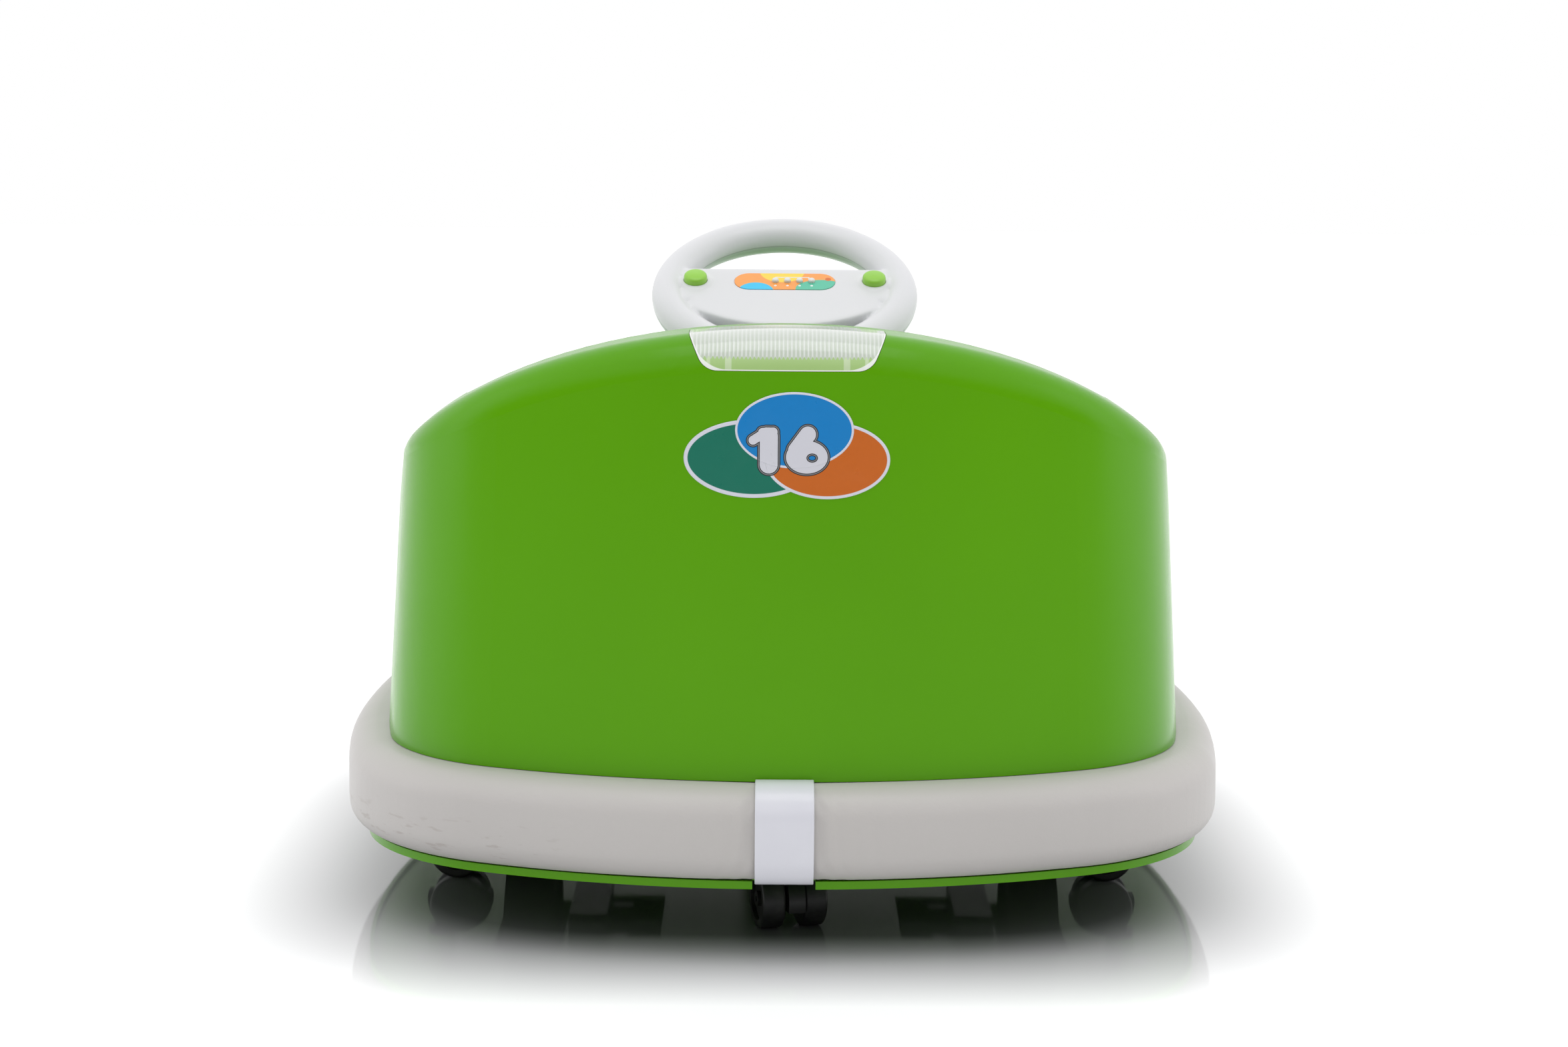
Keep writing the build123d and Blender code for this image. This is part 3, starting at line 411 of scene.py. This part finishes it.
clip_rows = []
for y, z in clip_profile():
    clip_rows.append([(-clip_half + 2 * clip_half * step / CLIP_STEPS, y, z)
                      for step in range(CLIP_STEPS + 1)])
clip = sheet_mesh("clip_band", clip_rows)
thick = clip.modifiers.new("wall", "SOLIDIFY")
thick.thickness = CLIP_WALL
thick.offset = -1.0
edge = clip.modifiers.new("edge", "BEVEL")
edge.width = 0.0007
edge.segments = 3
edge.limit_method = "ANGLE"
edge.angle_limit = math.radians(50)
clip_paint = Paint("clip_white_plastic", CLIP_WHITE, 0.22, IOR=1.5)
clip_paint.feed("Base Color", clip_paint.mix(clip_paint.noise(30.0, 5.0), CLIP_WHITE, (0.72, 0.72, 0.79)))
clip_paint.feed("Roughness", 0.18 + 0.12 * clip_paint.noise(60.0, 5.0))
clip_paint.bump(clip_paint.noise(400.0, 3.0), 0.00005, 0.6)
clip.data.materials.append(clip_paint.material)
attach(clip, "chassis")
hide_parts("bumper_clip")


# Number decal. A printed vinyl sticker of three overlapping ovals, each with a pale border,
# and a plain rounded race number in an outline of its own.
DECAL_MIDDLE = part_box("number_decal")[0].z + 0.0360
BORDER = (0.69, 0.69, 0.77)
OVALS = (
    (-0.0230, -0.0090, 0.0468, 0.0264, 0.0026, (0.002, 0.168, 0.107)),
    (0.0275, -0.0099, 0.0423, 0.0261, 0.0020, (0.60, 0.133, 0.008)),
    (0.0050, 0.0104, 0.0401, 0.0257, 0.0015, (0.001, 0.216, 0.578)),
)
NUMBER_FILL = (0.66, 0.66, 0.72)
NUMBER_GREY = (0.24, 0.24, 0.25)
NUMBER_DARK = (0.012, 0.012, 0.015)
NUMBER_LAYERS = ((0.0021, NUMBER_DARK), (0.0015, NUMBER_GREY), (0.0009, NUMBER_DARK), (0.0003, NUMBER_FILL))
PRINT_EDGE = 0.00008
FILM = 0.00036
FILM_STEP = 0.00006
OVAL_ROWS = 24
OVAL_STEPS = 120
sticker = Paint("printed_decal", BORDER, 0.30, IOR=1.5)
across, along, up = sticker.axes()
up = up - DECAL_MIDDLE


def oval_gap(x, z, middle_x, middle_z, half_x, half_z):
    """Signed distance from an oval's edge, negative inside it, close enough for a border."""
    near_x = (x - middle_x) / half_x
    near_z = (z - middle_z) / half_z
    reach = (near_x * near_x + near_z * near_z).power(0.5)
    slope = (near_x * near_x / half_x ** 2 + near_z * near_z / half_z ** 2).power(0.5)
    return reach * (reach - 1.0) / slope


def stroke_gap(x, z, start, end, radius):
    """Signed distance from a round-ended stroke."""
    run_x, run_z = end[0] - start[0], end[1] - start[1]
    length = run_x ** 2 + run_z ** 2
    share = (((x - start[0]) * run_x + (z - start[1]) * run_z) / length).most(0.0).least(1.0)
    off_x = x - start[0] - share * run_x
    off_z = z - start[1] - share * run_z
    return (off_x * off_x + off_z * off_z).power(0.5) - radius


colour = sticker.mix(0.0, BORDER, BORDER)
for middle_x, middle_z, half_x, half_z, rim, ink in OVALS:
    gap = oval_gap(across, up, middle_x, middle_z, half_x, half_z)
    colour = sticker.mix(gap.below(0.0, PRINT_EDGE), colour, BORDER)
    inked = sticker.mix(sticker.noise(300.0, 3.0) * 0.3, ink, tuple(c * 0.8 for c in ink))
    colour = sticker.mix(gap.below(-rim, PRINT_EDGE), colour, inked)
one = stroke_gap(across, up, (-0.0123, 0.0062), (-0.0123, -0.0127), 0.0058)
one = one.least(stroke_gap(across, up, (-0.0140, 0.0093), (-0.0230, 0.0035), 0.0027))
one = one.least(stroke_gap(across, up, (-0.0165, 0.0088), (-0.0095, 0.0092), 0.0028))
six = oval_gap(across, up, 0.0134, -0.0077, 0.0138, 0.0107)
six = six.least(stroke_gap(across, up, (0.0062, -0.0030), (0.0140, 0.0076), 0.0052))
six = six.most(-1.0 * oval_gap(across, up, 0.0170, -0.0082, 0.0042, 0.0034))
number = one.least(six)
for reach, ink in NUMBER_LAYERS:
    colour = sticker.mix(number.below(reach, PRINT_EDGE), colour, ink)
sticker.feed("Base Color", colour)
sticker.feed("Roughness", 0.24 + 0.1 * sticker.noise(80.0, 4.0))
sticker.bump(sticker.noise(160.0, 4.0), 0.00006, 0.5)
shell_tree = skin_tree("body_shell")
film_mesh = bmesh.new()
for layer, (middle_x, middle_z, half_x, half_z, rim, ink) in enumerate(OVALS):
    rings = []
    for ring in range(OVAL_ROWS + 2):
        share = min(ring / OVAL_ROWS, 1.0)
        proud = FILM + FILM_STEP * layer if ring <= OVAL_ROWS else 0.0
        points = []
        for step in range(OVAL_STEPS):
            angle = 2 * math.pi * step / OVAL_STEPS
            start = Vector((middle_x + half_x * share * math.cos(angle), -0.6,
                            DECAL_MIDDLE + middle_z + half_z * share * math.sin(angle)))
            hit, normal = shell_tree.ray_cast(start, Vector((0, 1, 0)))[:2]
            out = normal if normal.y < 0 else -normal
            points.append(film_mesh.verts.new(hit + out * proud))
        rings.append(points)
    for inner, outer in zip(rings, rings[1:]):
        for step in range(OVAL_STEPS):
            after = (step + 1) % OVAL_STEPS
            film_mesh.faces.new((inner[step], inner[after], outer[after], outer[step]))
bmesh.ops.remove_doubles(film_mesh, verts=film_mesh.verts, dist=0.000001)
bmesh.ops.recalc_face_normals(film_mesh, faces=film_mesh.faces)
printed_film = bpy.data.meshes.new("number_sticker")
film_mesh.to_mesh(printed_film)
film_mesh.free()
printed_film.polygons.foreach_set("use_smooth", [True] * len(printed_film.polygons))
number_sticker = bpy.data.objects.new("number_sticker", printed_film)
stage_scene.collection.objects.link(number_sticker)
number_sticker.data.materials.append(sticker.material)
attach(number_sticker, "chassis")
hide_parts("number_decal")


# Rear lamp. A clear ribbed saddle over a white tray, with a strip of six small lights inside. Its colour
# carries painted highlights on the rib crests and painted shade in the grooves and low on the lens.
LENS_MILK = (0.68, 0.71, 0.68)
LENS_SHADE = (0.50, 0.58, 0.46)
LENS_GREEN = (0.40, 0.60, 0.22)
RIB_PITCH = 2.8 * MM
LENS_LEAN = 0.453
LENS_CORNER = 14.0 * MM
lens_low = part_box("rear_lens")[0]
lens_paint = Paint("ribbed_lens", LENS_MILK, 0.14, IOR=1.49, Coat_Weight=0.6, Coat_Roughness=0.04)
across, along, up = lens_paint.axes()
height = up - lens_low.z
rib = (across * (2 * math.pi / RIB_PITCH)).cosine()
rib_tip = 0.0086 + 0.0009 * rib
ribbed = 1.0 - height.below(rib_tip, 0.0004)
near_tip = height.below(0.022, 0.012)
posts = abs(abs(across) - 0.0400).below(0.0022, 0.0003) + abs(abs(across) - 0.0535).below(0.0012, 0.0003)
# Painted shade low on the lens.
ribs_lit_and_shaded = lens_paint.mix(near_tip * 0.6, LENS_MILK, LENS_SHADE)
# Painted highlights on the rib crests.
ribs_lit_and_shaded = lens_paint.mix((rib * 0.5 + 0.5).power(4.0) * (0.15 + 0.4 * near_tip), ribs_lit_and_shaded, (0.93, 0.95, 0.93))
# Painted shade in the rib grooves.
ribs_lit_and_shaded = lens_paint.mix((0.5 - rib * 0.5).power(5.0) * (0.08 + 0.3 * near_tip), ribs_lit_and_shaded, (0.42, 0.52, 0.34))
strip = lens_paint.mix(posts.least(1.0) * 0.6, LENS_GREEN, (0.70, 0.80, 0.58))
skin_colour = lens_paint.mix(ribbed, strip, ribs_lit_and_shaded)
from_side = ((0.0565 + LENS_LEAN * height) - abs(across)) * 0.91
into_corner = (LENS_CORNER - from_side).most(0.0)
above_foot = (LENS_CORNER - height).most(0.0)
from_edge = LENS_CORNER - (into_corner * into_corner + above_foot * above_foot).power(0.5)
rim_line = from_edge.below(0.0008, 0.0002)
lens_paint.feed("Base Color", lens_paint.mix(rim_line * 0.9, skin_colour, (0.93, 0.95, 0.92)))
lens_paint.feed("Roughness", 0.10 + 0.06 * lens_paint.noise(90.0, 4.0))
lens_paint.bump(rib * 0.5 * ribbed + lens_paint.noise(250.0, 3.0) * 0.06, 0.00035, 0.8)
lens_paint.dress("rear_lens")


def moulded(name, colour, roughness, grain=420.0, depth=0.00005, spread=0.82, **constants):
    """A moulded or painted finish: cloudy colour, uneven gloss and a fine surface grain."""
    paint = Paint(name, colour, roughness, **constants)
    deep = tuple(part * spread for part in colour)
    paint.feed("Base Color", paint.mix(paint.noise(28.0, 5.0), colour, deep))
    paint.feed("Roughness", (roughness - 0.05) + 0.13 * paint.noise(75.0, 5.0))
    paint.bump(paint.noise(grain, 3.0), depth, 0.6)
    return paint


white_plastic = moulded("white_moulded_plastic", (0.80, 0.80, 0.81), 0.30, spread=0.97, IOR=1.5)
circuit = moulded("lacquered_circuit_board", (0.02, 0.16, 0.06), 0.35, 900.0, 0.00008, 0.6)
white_plastic.dress("rear_lamp_tray")
led_paint = moulded("white_light_strip", (0.72, 0.72, 0.66), 0.3, 600.0, 0.00006, 0.9)
led_paint.dress("rear_led_strip")


# Steering wheel. Two white shells that meet round the rim's middle; the crossbar and the hub's
# curved lower edge run smoothly into the rim, with a shallow recess for the panel.
turn = next(joint for joint in frame["joints"] if joint["name"] == "steering_turn")
WHEEL_MIDDLE = Vector(turn["pos_m"])
WHEEL_FACE = Vector(turn["axis"]).normalized()
if WHEEL_FACE.z < 0:
    WHEEL_FACE = -WHEEL_FACE
WHEEL_UP = WHEEL_FACE.cross(Vector((1, 0, 0)))
RIM_RADIUS = 92.0
RIM_TUBE = 14.0
RIM_STEPS = 160
TUBE_STEPS = 40
BAR = (-84.0, 84.0, -28.0, 23.0, -10.0, 12.0)
BELLY_RADIUS = 118.0
BELLY_MIDDLE = 54.0
BELLY_HALF = 78.0
NECK = (-24.0, 24.0, -90.0, -52.0, -10.0, 8.0)
STEM_RADIUS = 18.0
STEM_LENGTH = 41.5
BUTTON_PLACE = 71.0
BUTTON_HOLE = 9.55
BOSS_RADIUS = 12.4
BOSS_TOP = 13.3
SEAM_HEIGHT = -1.8
KEY_HOLE = 2.85
KEY_PLACES = [-7.5 + 9.6 * step for step in range(4)]
PANEL = (80.0, 24.0)
VOXEL = 0.0011


def on_wheel(u, v, h):
    """A point given in millimetres across, up and out of the steering wheel's face."""
    return WHEEL_MIDDLE + MM * (u * Vector((1, 0, 0)) + v * WHEEL_UP + h * WHEEL_FACE)


def add_prism(store, outline, low, high, round_by=0.0):
    """Adds to a bmesh a block with this outline (u, v), from low to high out of the face."""
    foot = [store.verts.new((u, v, low)) for u, v in outline]
    head = [store.verts.new((u, v, high)) for u, v in outline]
    store.faces.new(foot[::-1])
    store.faces.new(head)
    for step in range(len(outline)):
        after = (step + 1) % len(outline)
        store.faces.new((foot[step], foot[after], head[after], head[step]))
    if round_by:
        edges = [e for e in store.edges if e.verts[0] in head and e.verts[1] in head]
        edges += [e for e in store.edges if e.verts[0] in foot and e.verts[1] in foot]
        bmesh.ops.bevel(store, geom=edges, offset=round_by, segments=5, profile=0.5, affect="EDGES",
                        clamp_overlap=True)


def circle(middle_u, middle_v, radius, steps=64, start=0.0, turn_by=2 * math.pi):
    full = abs(turn_by) > 6.2
    count = steps if full else steps + 1
    return [(middle_u + radius * math.cos(start + turn_by * step / steps),
             middle_v + radius * math.sin(start + turn_by * step / steps)) for step in range(count)]


def slot_outline(length, width, steps=24):
    radius = width / 2
    reach = length / 2 - radius
    right = circle(reach, 0, radius, steps, -math.pi / 2, math.pi)
    left = circle(-reach, 0, radius, steps, math.pi / 2, math.pi)
    return right + left


def solid_of(name, *blocks):
    """A closed mesh object from prisms (outline, low, high, rounding) in the wheel's own frame."""
    mesh = bpy.data.meshes.new(name)
    whole = bmesh.new()
    for block in blocks:
        single = bmesh.new()
        add_prism(single, *block)
        part = bpy.data.meshes.new("part")
        single.to_mesh(part)
        whole.from_mesh(part)
        single.free()
        bpy.data.meshes.remove(part)
    bmesh.ops.recalc_face_normals(whole, faces=whole.faces)
    whole.to_mesh(mesh)
    whole.free()
    piece = bpy.data.objects.new(name, mesh)
    stage_scene.collection.objects.link(piece)
    return piece


def rectangle(low_u, high_u, low_v, high_v):
    return [(low_u, low_v), (high_u, low_v), (high_u, high_v), (low_u, high_v)]


def settled(piece):
    """Turns an object's modifiers into plain mesh."""
    bpy.context.view_layer.update()
    solved = piece.evaluated_get(bpy.context.evaluated_depsgraph_get())
    mesh = bpy.data.meshes.new_from_object(solved)
    piece.modifiers.clear()
    piece.data = mesh
    return piece


belly_sweep = math.asin(BELLY_HALF / BELLY_RADIUS)
belly = circle(0, BELLY_MIDDLE, BELLY_RADIUS, 32, -math.pi / 2 - belly_sweep, 2 * belly_sweep)
belly += [(BELLY_HALF, 4.0), (-BELLY_HALF, 4.0)]
rim_rows = []
tube_turns = [2 * math.pi * step / TUBE_STEPS for step in range(TUBE_STEPS)]
for step in range(RIM_STEPS):
    angle = 2 * math.pi * step / RIM_STEPS
    way = Vector((math.cos(angle), math.sin(angle), 0))
    rim_rows.append([way * (RIM_RADIUS + RIM_TUBE * math.cos(t)) + Vector((0, 0, RIM_TUBE * math.sin(t)))
                     for t in tube_turns])
rim = sheet_mesh("rim", rim_rows, closed_u=True, closed_v=True)
core = solid_of("core", (rectangle(*BAR[:4]), BAR[4], BAR[5], 5.0), (belly, BAR[4], BAR[5], 7.0),
                (rectangle(*NECK[:4]), NECK[4], NECK[5], 4.0),
                (circle(0, 0, STEM_RADIUS), -STEM_LENGTH, BAR[4] + 2, 0.0),
                (circle(-BUTTON_PLACE, 0, BOSS_RADIUS), 0.0, BOSS_TOP, 1.0),
                (circle(BUTTON_PLACE, 0, BOSS_RADIUS), 0.0, BOSS_TOP, 1.0))
blend = bmesh.new()
blend.from_mesh(rim.data)
blend.from_mesh(core.data)
blend.to_mesh(rim.data)
blend.free()
bpy.data.objects.remove(core)
wheel = rim
wheel.name = "steering_wheel"
skin = wheel.modifiers.new("skin", "REMESH")
skin.mode = "VOXEL"
skin.voxel_size = VOXEL / MM
soften = wheel.modifiers.new("soften", "SMOOTH")
soften.factor = 0.5
soften.iterations = 14
settled(wheel)
cuts = [(circle(side * BUTTON_PLACE, 0, BUTTON_HOLE, 48), 2.0, 30.0, 0.0) for side in (-1, 1)]
cuts += [(circle(place, 0, KEY_HOLE, 32), 4.0, 30.0, 0.0) for place in KEY_PLACES]
cuts += [(slot_outline(PANEL[0] + 0.8, PANEL[1] + 0.8), BAR[5] - 0.45, 30.0, 0.0),
         (circle(0, 0, 7.05, 48), -STEM_LENGTH - 5, BAR[4] - 0.2, 0.0)]
for cut in cuts:
    cutter = solid_of("cutter", cut)
    carve = wheel.modifiers.new("carve", "BOOLEAN")
    carve.operation = "DIFFERENCE"
    carve.solver = "EXACT"
    carve.object = cutter
    settled(wheel)
    bpy.data.objects.remove(cutter)
for vertex in wheel.data.vertices:
    vertex.co = on_wheel(*vertex.co)
wheel.data.polygons.foreach_set("use_smooth", [True] * len(wheel.data.polygons))
wheel.data.set_sharp_from_angle(angle=math.radians(40))
wheel_paint = Paint("white_wheel_plastic", (0.80, 0.80, 0.82), 0.3, IOR=1.5)


def wheel_axes(paint):
    """A shader's own u, v, h on the steering wheel, in millimetres."""
    place = paint.place()
    results = []
    for way in (Vector((1, 0, 0)), WHEEL_UP, WHEEL_FACE):
        dot = paint.node("ShaderNodeVectorMath", {"operation": "DOT_PRODUCT"}, {0: place, 1: way}, 1)
        results.append((dot - way.dot(WHEEL_MIDDLE)) * 1000.0)
    return results


u, v, h = wheel_axes(wheel_paint)
# Painted shade and reflection: the back shell is white plastic like the front, coloured grey-green for its
# shade and the green hood's reflected light.
back_shell = h.below(SEAM_HEIGHT, 0.12)
seam = abs(h - SEAM_HEIGHT).below(0.35, 0.15)
cloud = wheel_paint.noise(24.0, 5.0)
front_white = wheel_paint.mix(cloud, (0.76, 0.76, 0.78), (0.73, 0.735, 0.76))
shell_colour_and_painted_shade = wheel_paint.mix(back_shell, front_white, (0.60, 0.67, 0.62))
wheel_paint.feed("Base Color", wheel_paint.mix(seam * 0.5, shell_colour_and_painted_shade, (0.28, 0.31, 0.29)))
wheel_paint.feed("Roughness", 0.24 + 0.14 * wheel_paint.noise(60.0, 5.0))
wheel_paint.bump(wheel_paint.noise(500.0, 3.0) * 0.25 - seam, 0.0003, 0.7)
wheel.data.materials.clear()
wheel.data.materials.append(wheel_paint.material)
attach(wheel, "steering")
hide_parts("wheel_front_shell", "wheel_back_shell")


# Printed panel. A glossy orange sticker with coloured bubbles, a pale bracket over the four
# keys and a plain dot under each.
PANEL_ORANGE = (1.0, 0.39, 0.095)
panel_paint = Paint("printed_panel", PANEL_ORANGE, 0.2, IOR=1.5)
u, v, h = wheel_axes(panel_paint)
PANEL_EDGE = 0.12


def bubble(middle_u, middle_v, radius_u, radius_v):
    off_u = (u - middle_u) / radius_u
    off_v = (v - middle_v) / radius_v
    return ((off_u * off_u + off_v * off_v).power(0.5) - 1.0).below(0.0, PANEL_EDGE / radius_u)


printed = panel_paint.mix(panel_paint.noise(200.0, 3.0) * 0.4, PANEL_ORANGE, (0.86, 0.32, 0.07))
printed = panel_paint.mix(bubble(-2.0, 15.5, 18.0, 17.0), printed, (1.0, 0.70, 0.078))
printed = panel_paint.mix(bubble(-23.0, -15.0, 14.0, 13.0), printed, (0.045, 0.58, 0.91))
printed = panel_paint.mix(bubble(29.0, -11.0, 20.5, 13.5), printed, (0.11, 0.56, 0.38))
printed = panel_paint.mix(bubble(34.5, 3.5, 2.4, 2.4), printed, (0.72, 0.16, 0.03))
bracket = abs(u - 6.0).below(13.4, 0.1) * abs(v - 6.1).below(0.55, 0.1)
for place in (-7.2, 19.2):
    bracket = bracket + abs(u - place).below(0.5, 0.1) * abs(v - 4.8).below(1.6, 0.1)
printed = panel_paint.mix(bracket.least(1.0), printed, (0.78, 0.80, 0.78))
for place in KEY_PLACES:
    printed = panel_paint.mix(bubble(place, -6.4, 1.1, 1.1), printed, (0.86, 0.88, 0.86))
panel_paint.feed("Base Color", printed)
panel_paint.feed("Roughness", 0.16 + 0.1 * panel_paint.noise(120.0, 4.0))
panel_paint.bump(panel_paint.noise(300.0, 3.0), 0.00004, 0.5)
panel_paint.dress("wheel_panel")


# Horn buttons and panel keys. Green caps with a softly worn crown, and four small white domes.
BUTTON_PROFILE = ((0.0, 19.0), (6.4, 18.8), (8.2, 18.2), (8.9, 17.4),
                  (9.2, 16.2), (9.25, 14.6), (9.25, 8.6), (0.0, 8.6))
button_paint = moulded("green_button_plastic", (0.33, 0.68, 0.075), 0.3, 380.0, 0.00008, 0.86, IOR=1.5)
for side, name in ((-1, "left"), (1, "right")):
    cap_rows = []
    for radius, height in BUTTON_PROFILE:
        ring = circle(0, 0, radius + 0.01, 72)
        cap_rows.append([on_wheel(side * BUTTON_PLACE + u, v, height) for u, v in ring])
    button = sheet_mesh("horn_cap_" + name, cap_rows, closed_u=True)
    button.data.set_sharp_from_angle(angle=math.radians(50))
    button.data.materials.append(button_paint.material)
    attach(button, "horn_" + name)
    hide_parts("horn_button_" + name)
key_paint = moulded("white_key_plastic", (0.82, 0.82, 0.80), 0.3, 700.0, 0.00005, 0.93, IOR=1.5)
key_paint.dress("panel_key_1", "panel_key_2", "panel_key_3", "panel_key_4")


# Wheel electronics and steering column. Sound board, speaker and two cells in the wheel; steel
# shaft through nylon bushes to the cam and its two switches.
steel = moulded("zinc_plated_steel", (0.55, 0.56, 0.58), 0.34, 260.0, 0.00006, 0.8, Metallic=1.0)
black_plastic = moulded("black_moulded_plastic", (0.012, 0.012, 0.013), 0.34, 480.0, 0.00012, 0.6)
nylon = moulded("natural_nylon", (0.62, 0.60, 0.52), 0.42, 300.0, 0.00006, 0.88)
cells = moulded("alkaline_cell_wrap", (0.10, 0.10, 0.11), 0.25, 500.0, 0.00004, 0.7)
circuit.dress("wheel_sound_board", "control_board")
black_plastic.dress("wheel_speaker", "column_bracket", "steering_cam", "micro_switches")
cells.dress("wheel_cells")
steel.dress("steering_shaft", "wheel_bolt")
nylon.dress("column_bushes")


# Dash. Two rocker switches in black bezels, one red and one grey, and the charging socket.
red_rocker = moulded("red_rocker_plastic", (0.42, 0.014, 0.012), 0.3, 420.0, 0.00008, 0.8)
grey_rocker = moulded("dark_grey_rocker_plastic", (0.045, 0.046, 0.05), 0.34, 420.0, 0.00008, 0.8)
black_plastic.dress("rocker_housings", "charging_port")
red_rocker.dress("power_rocker")
grey_rocker.dress("direction_rocker")


# Battery and its strap. A sealed lead battery in a grey-black case under the seat, held down
# by a black painted steel strap.
battery_paint = moulded("battery_case_plastic", (0.028, 0.030, 0.034), 0.46, 240.0, 0.00018, 0.7)
battery_paint.dress("battery")
strap_steel = moulded("black_strap_steel", (0.03, 0.03, 0.03), 0.5, 300.0, 0.0001, 0.7, Metallic=1.0)
strap_steel.dress("battery_strap")


# Foot pedal. Ribbed rubber-faced black plate on a steel pin between two ears.
rubber = moulded("grained_black_rubber", (0.016, 0.016, 0.017), 0.62, 700.0, 0.00025, 0.7)
rubber.dress("foot_pedal")
black_plastic.dress("pedal_base")
steel.dress("pedal_pin")


# Drives. A small motor, a nylon gear train and a tyred wheel on each side.
brass = moulded("turned_brass", (0.62, 0.42, 0.15), 0.3, 300.0, 0.00004, 0.8, Metallic=1.0)
hub_paint = moulded("grey_hub_plastic", (0.16, 0.165, 0.17), 0.4, 420.0, 0.0001, 0.8)
TYRE_BLACK = (0.014, 0.014, 0.015)
tyre_paint = Paint("ribbed_tyre_rubber", TYRE_BLACK, 0.7)
dust = tyre_paint.noise(40.0, 6.0)
tyre_paint.feed("Base Color", tyre_paint.mix(dust.power(3.0), TYRE_BLACK, (0.10, 0.095, 0.088)))
tyre_paint.feed("Roughness", 0.58 + 0.25 * dust)
across, along, up = tyre_paint.axes()
tread = (across * (2 * math.pi / 0.0048)).cosine()
tyre_paint.bump(tread * 0.5 + tyre_paint.noise(600.0, 4.0) * 0.4, 0.0006, 0.9)
for side in ("left", "right"):
    tyre_paint.dress("drive_tyre_" + side)
    hub_paint.dress("drive_hub_" + side)
    steel.dress("drive_axle_" + side)
    nylon.dress("idler_gear_" + side)
    brass.dress("motor_pinion_" + side)
    black_plastic.dress("gearbox_case_" + side)
black_plastic.dress("gearbox_lids")
steel.dress("drive_motors", "chassis_screws")


# Casters. Black twin wheels whose treads have picked up a little floor dust.
CASTER_BLACK = (0.010, 0.010, 0.012)
caster_paint = Paint("dusty_black_caster", CASTER_BLACK, 0.36, IOR=1.5)
dust = caster_paint.noise(55.0, 6.0)
caster_paint.feed("Base Color", caster_paint.mix(dust.power(4.0), CASTER_BLACK, (0.16, 0.15, 0.145)))
caster_paint.feed("Roughness", 0.28 + 0.3 * dust)
caster_paint.bump(caster_paint.noise(500.0, 4.0), 0.0001, 0.6)
for place in ("rear", "left", "right", "front"):
    caster_paint.dress("caster_%s_wheels" % place)
    black_plastic.dress("caster_%s_swivel" % place)
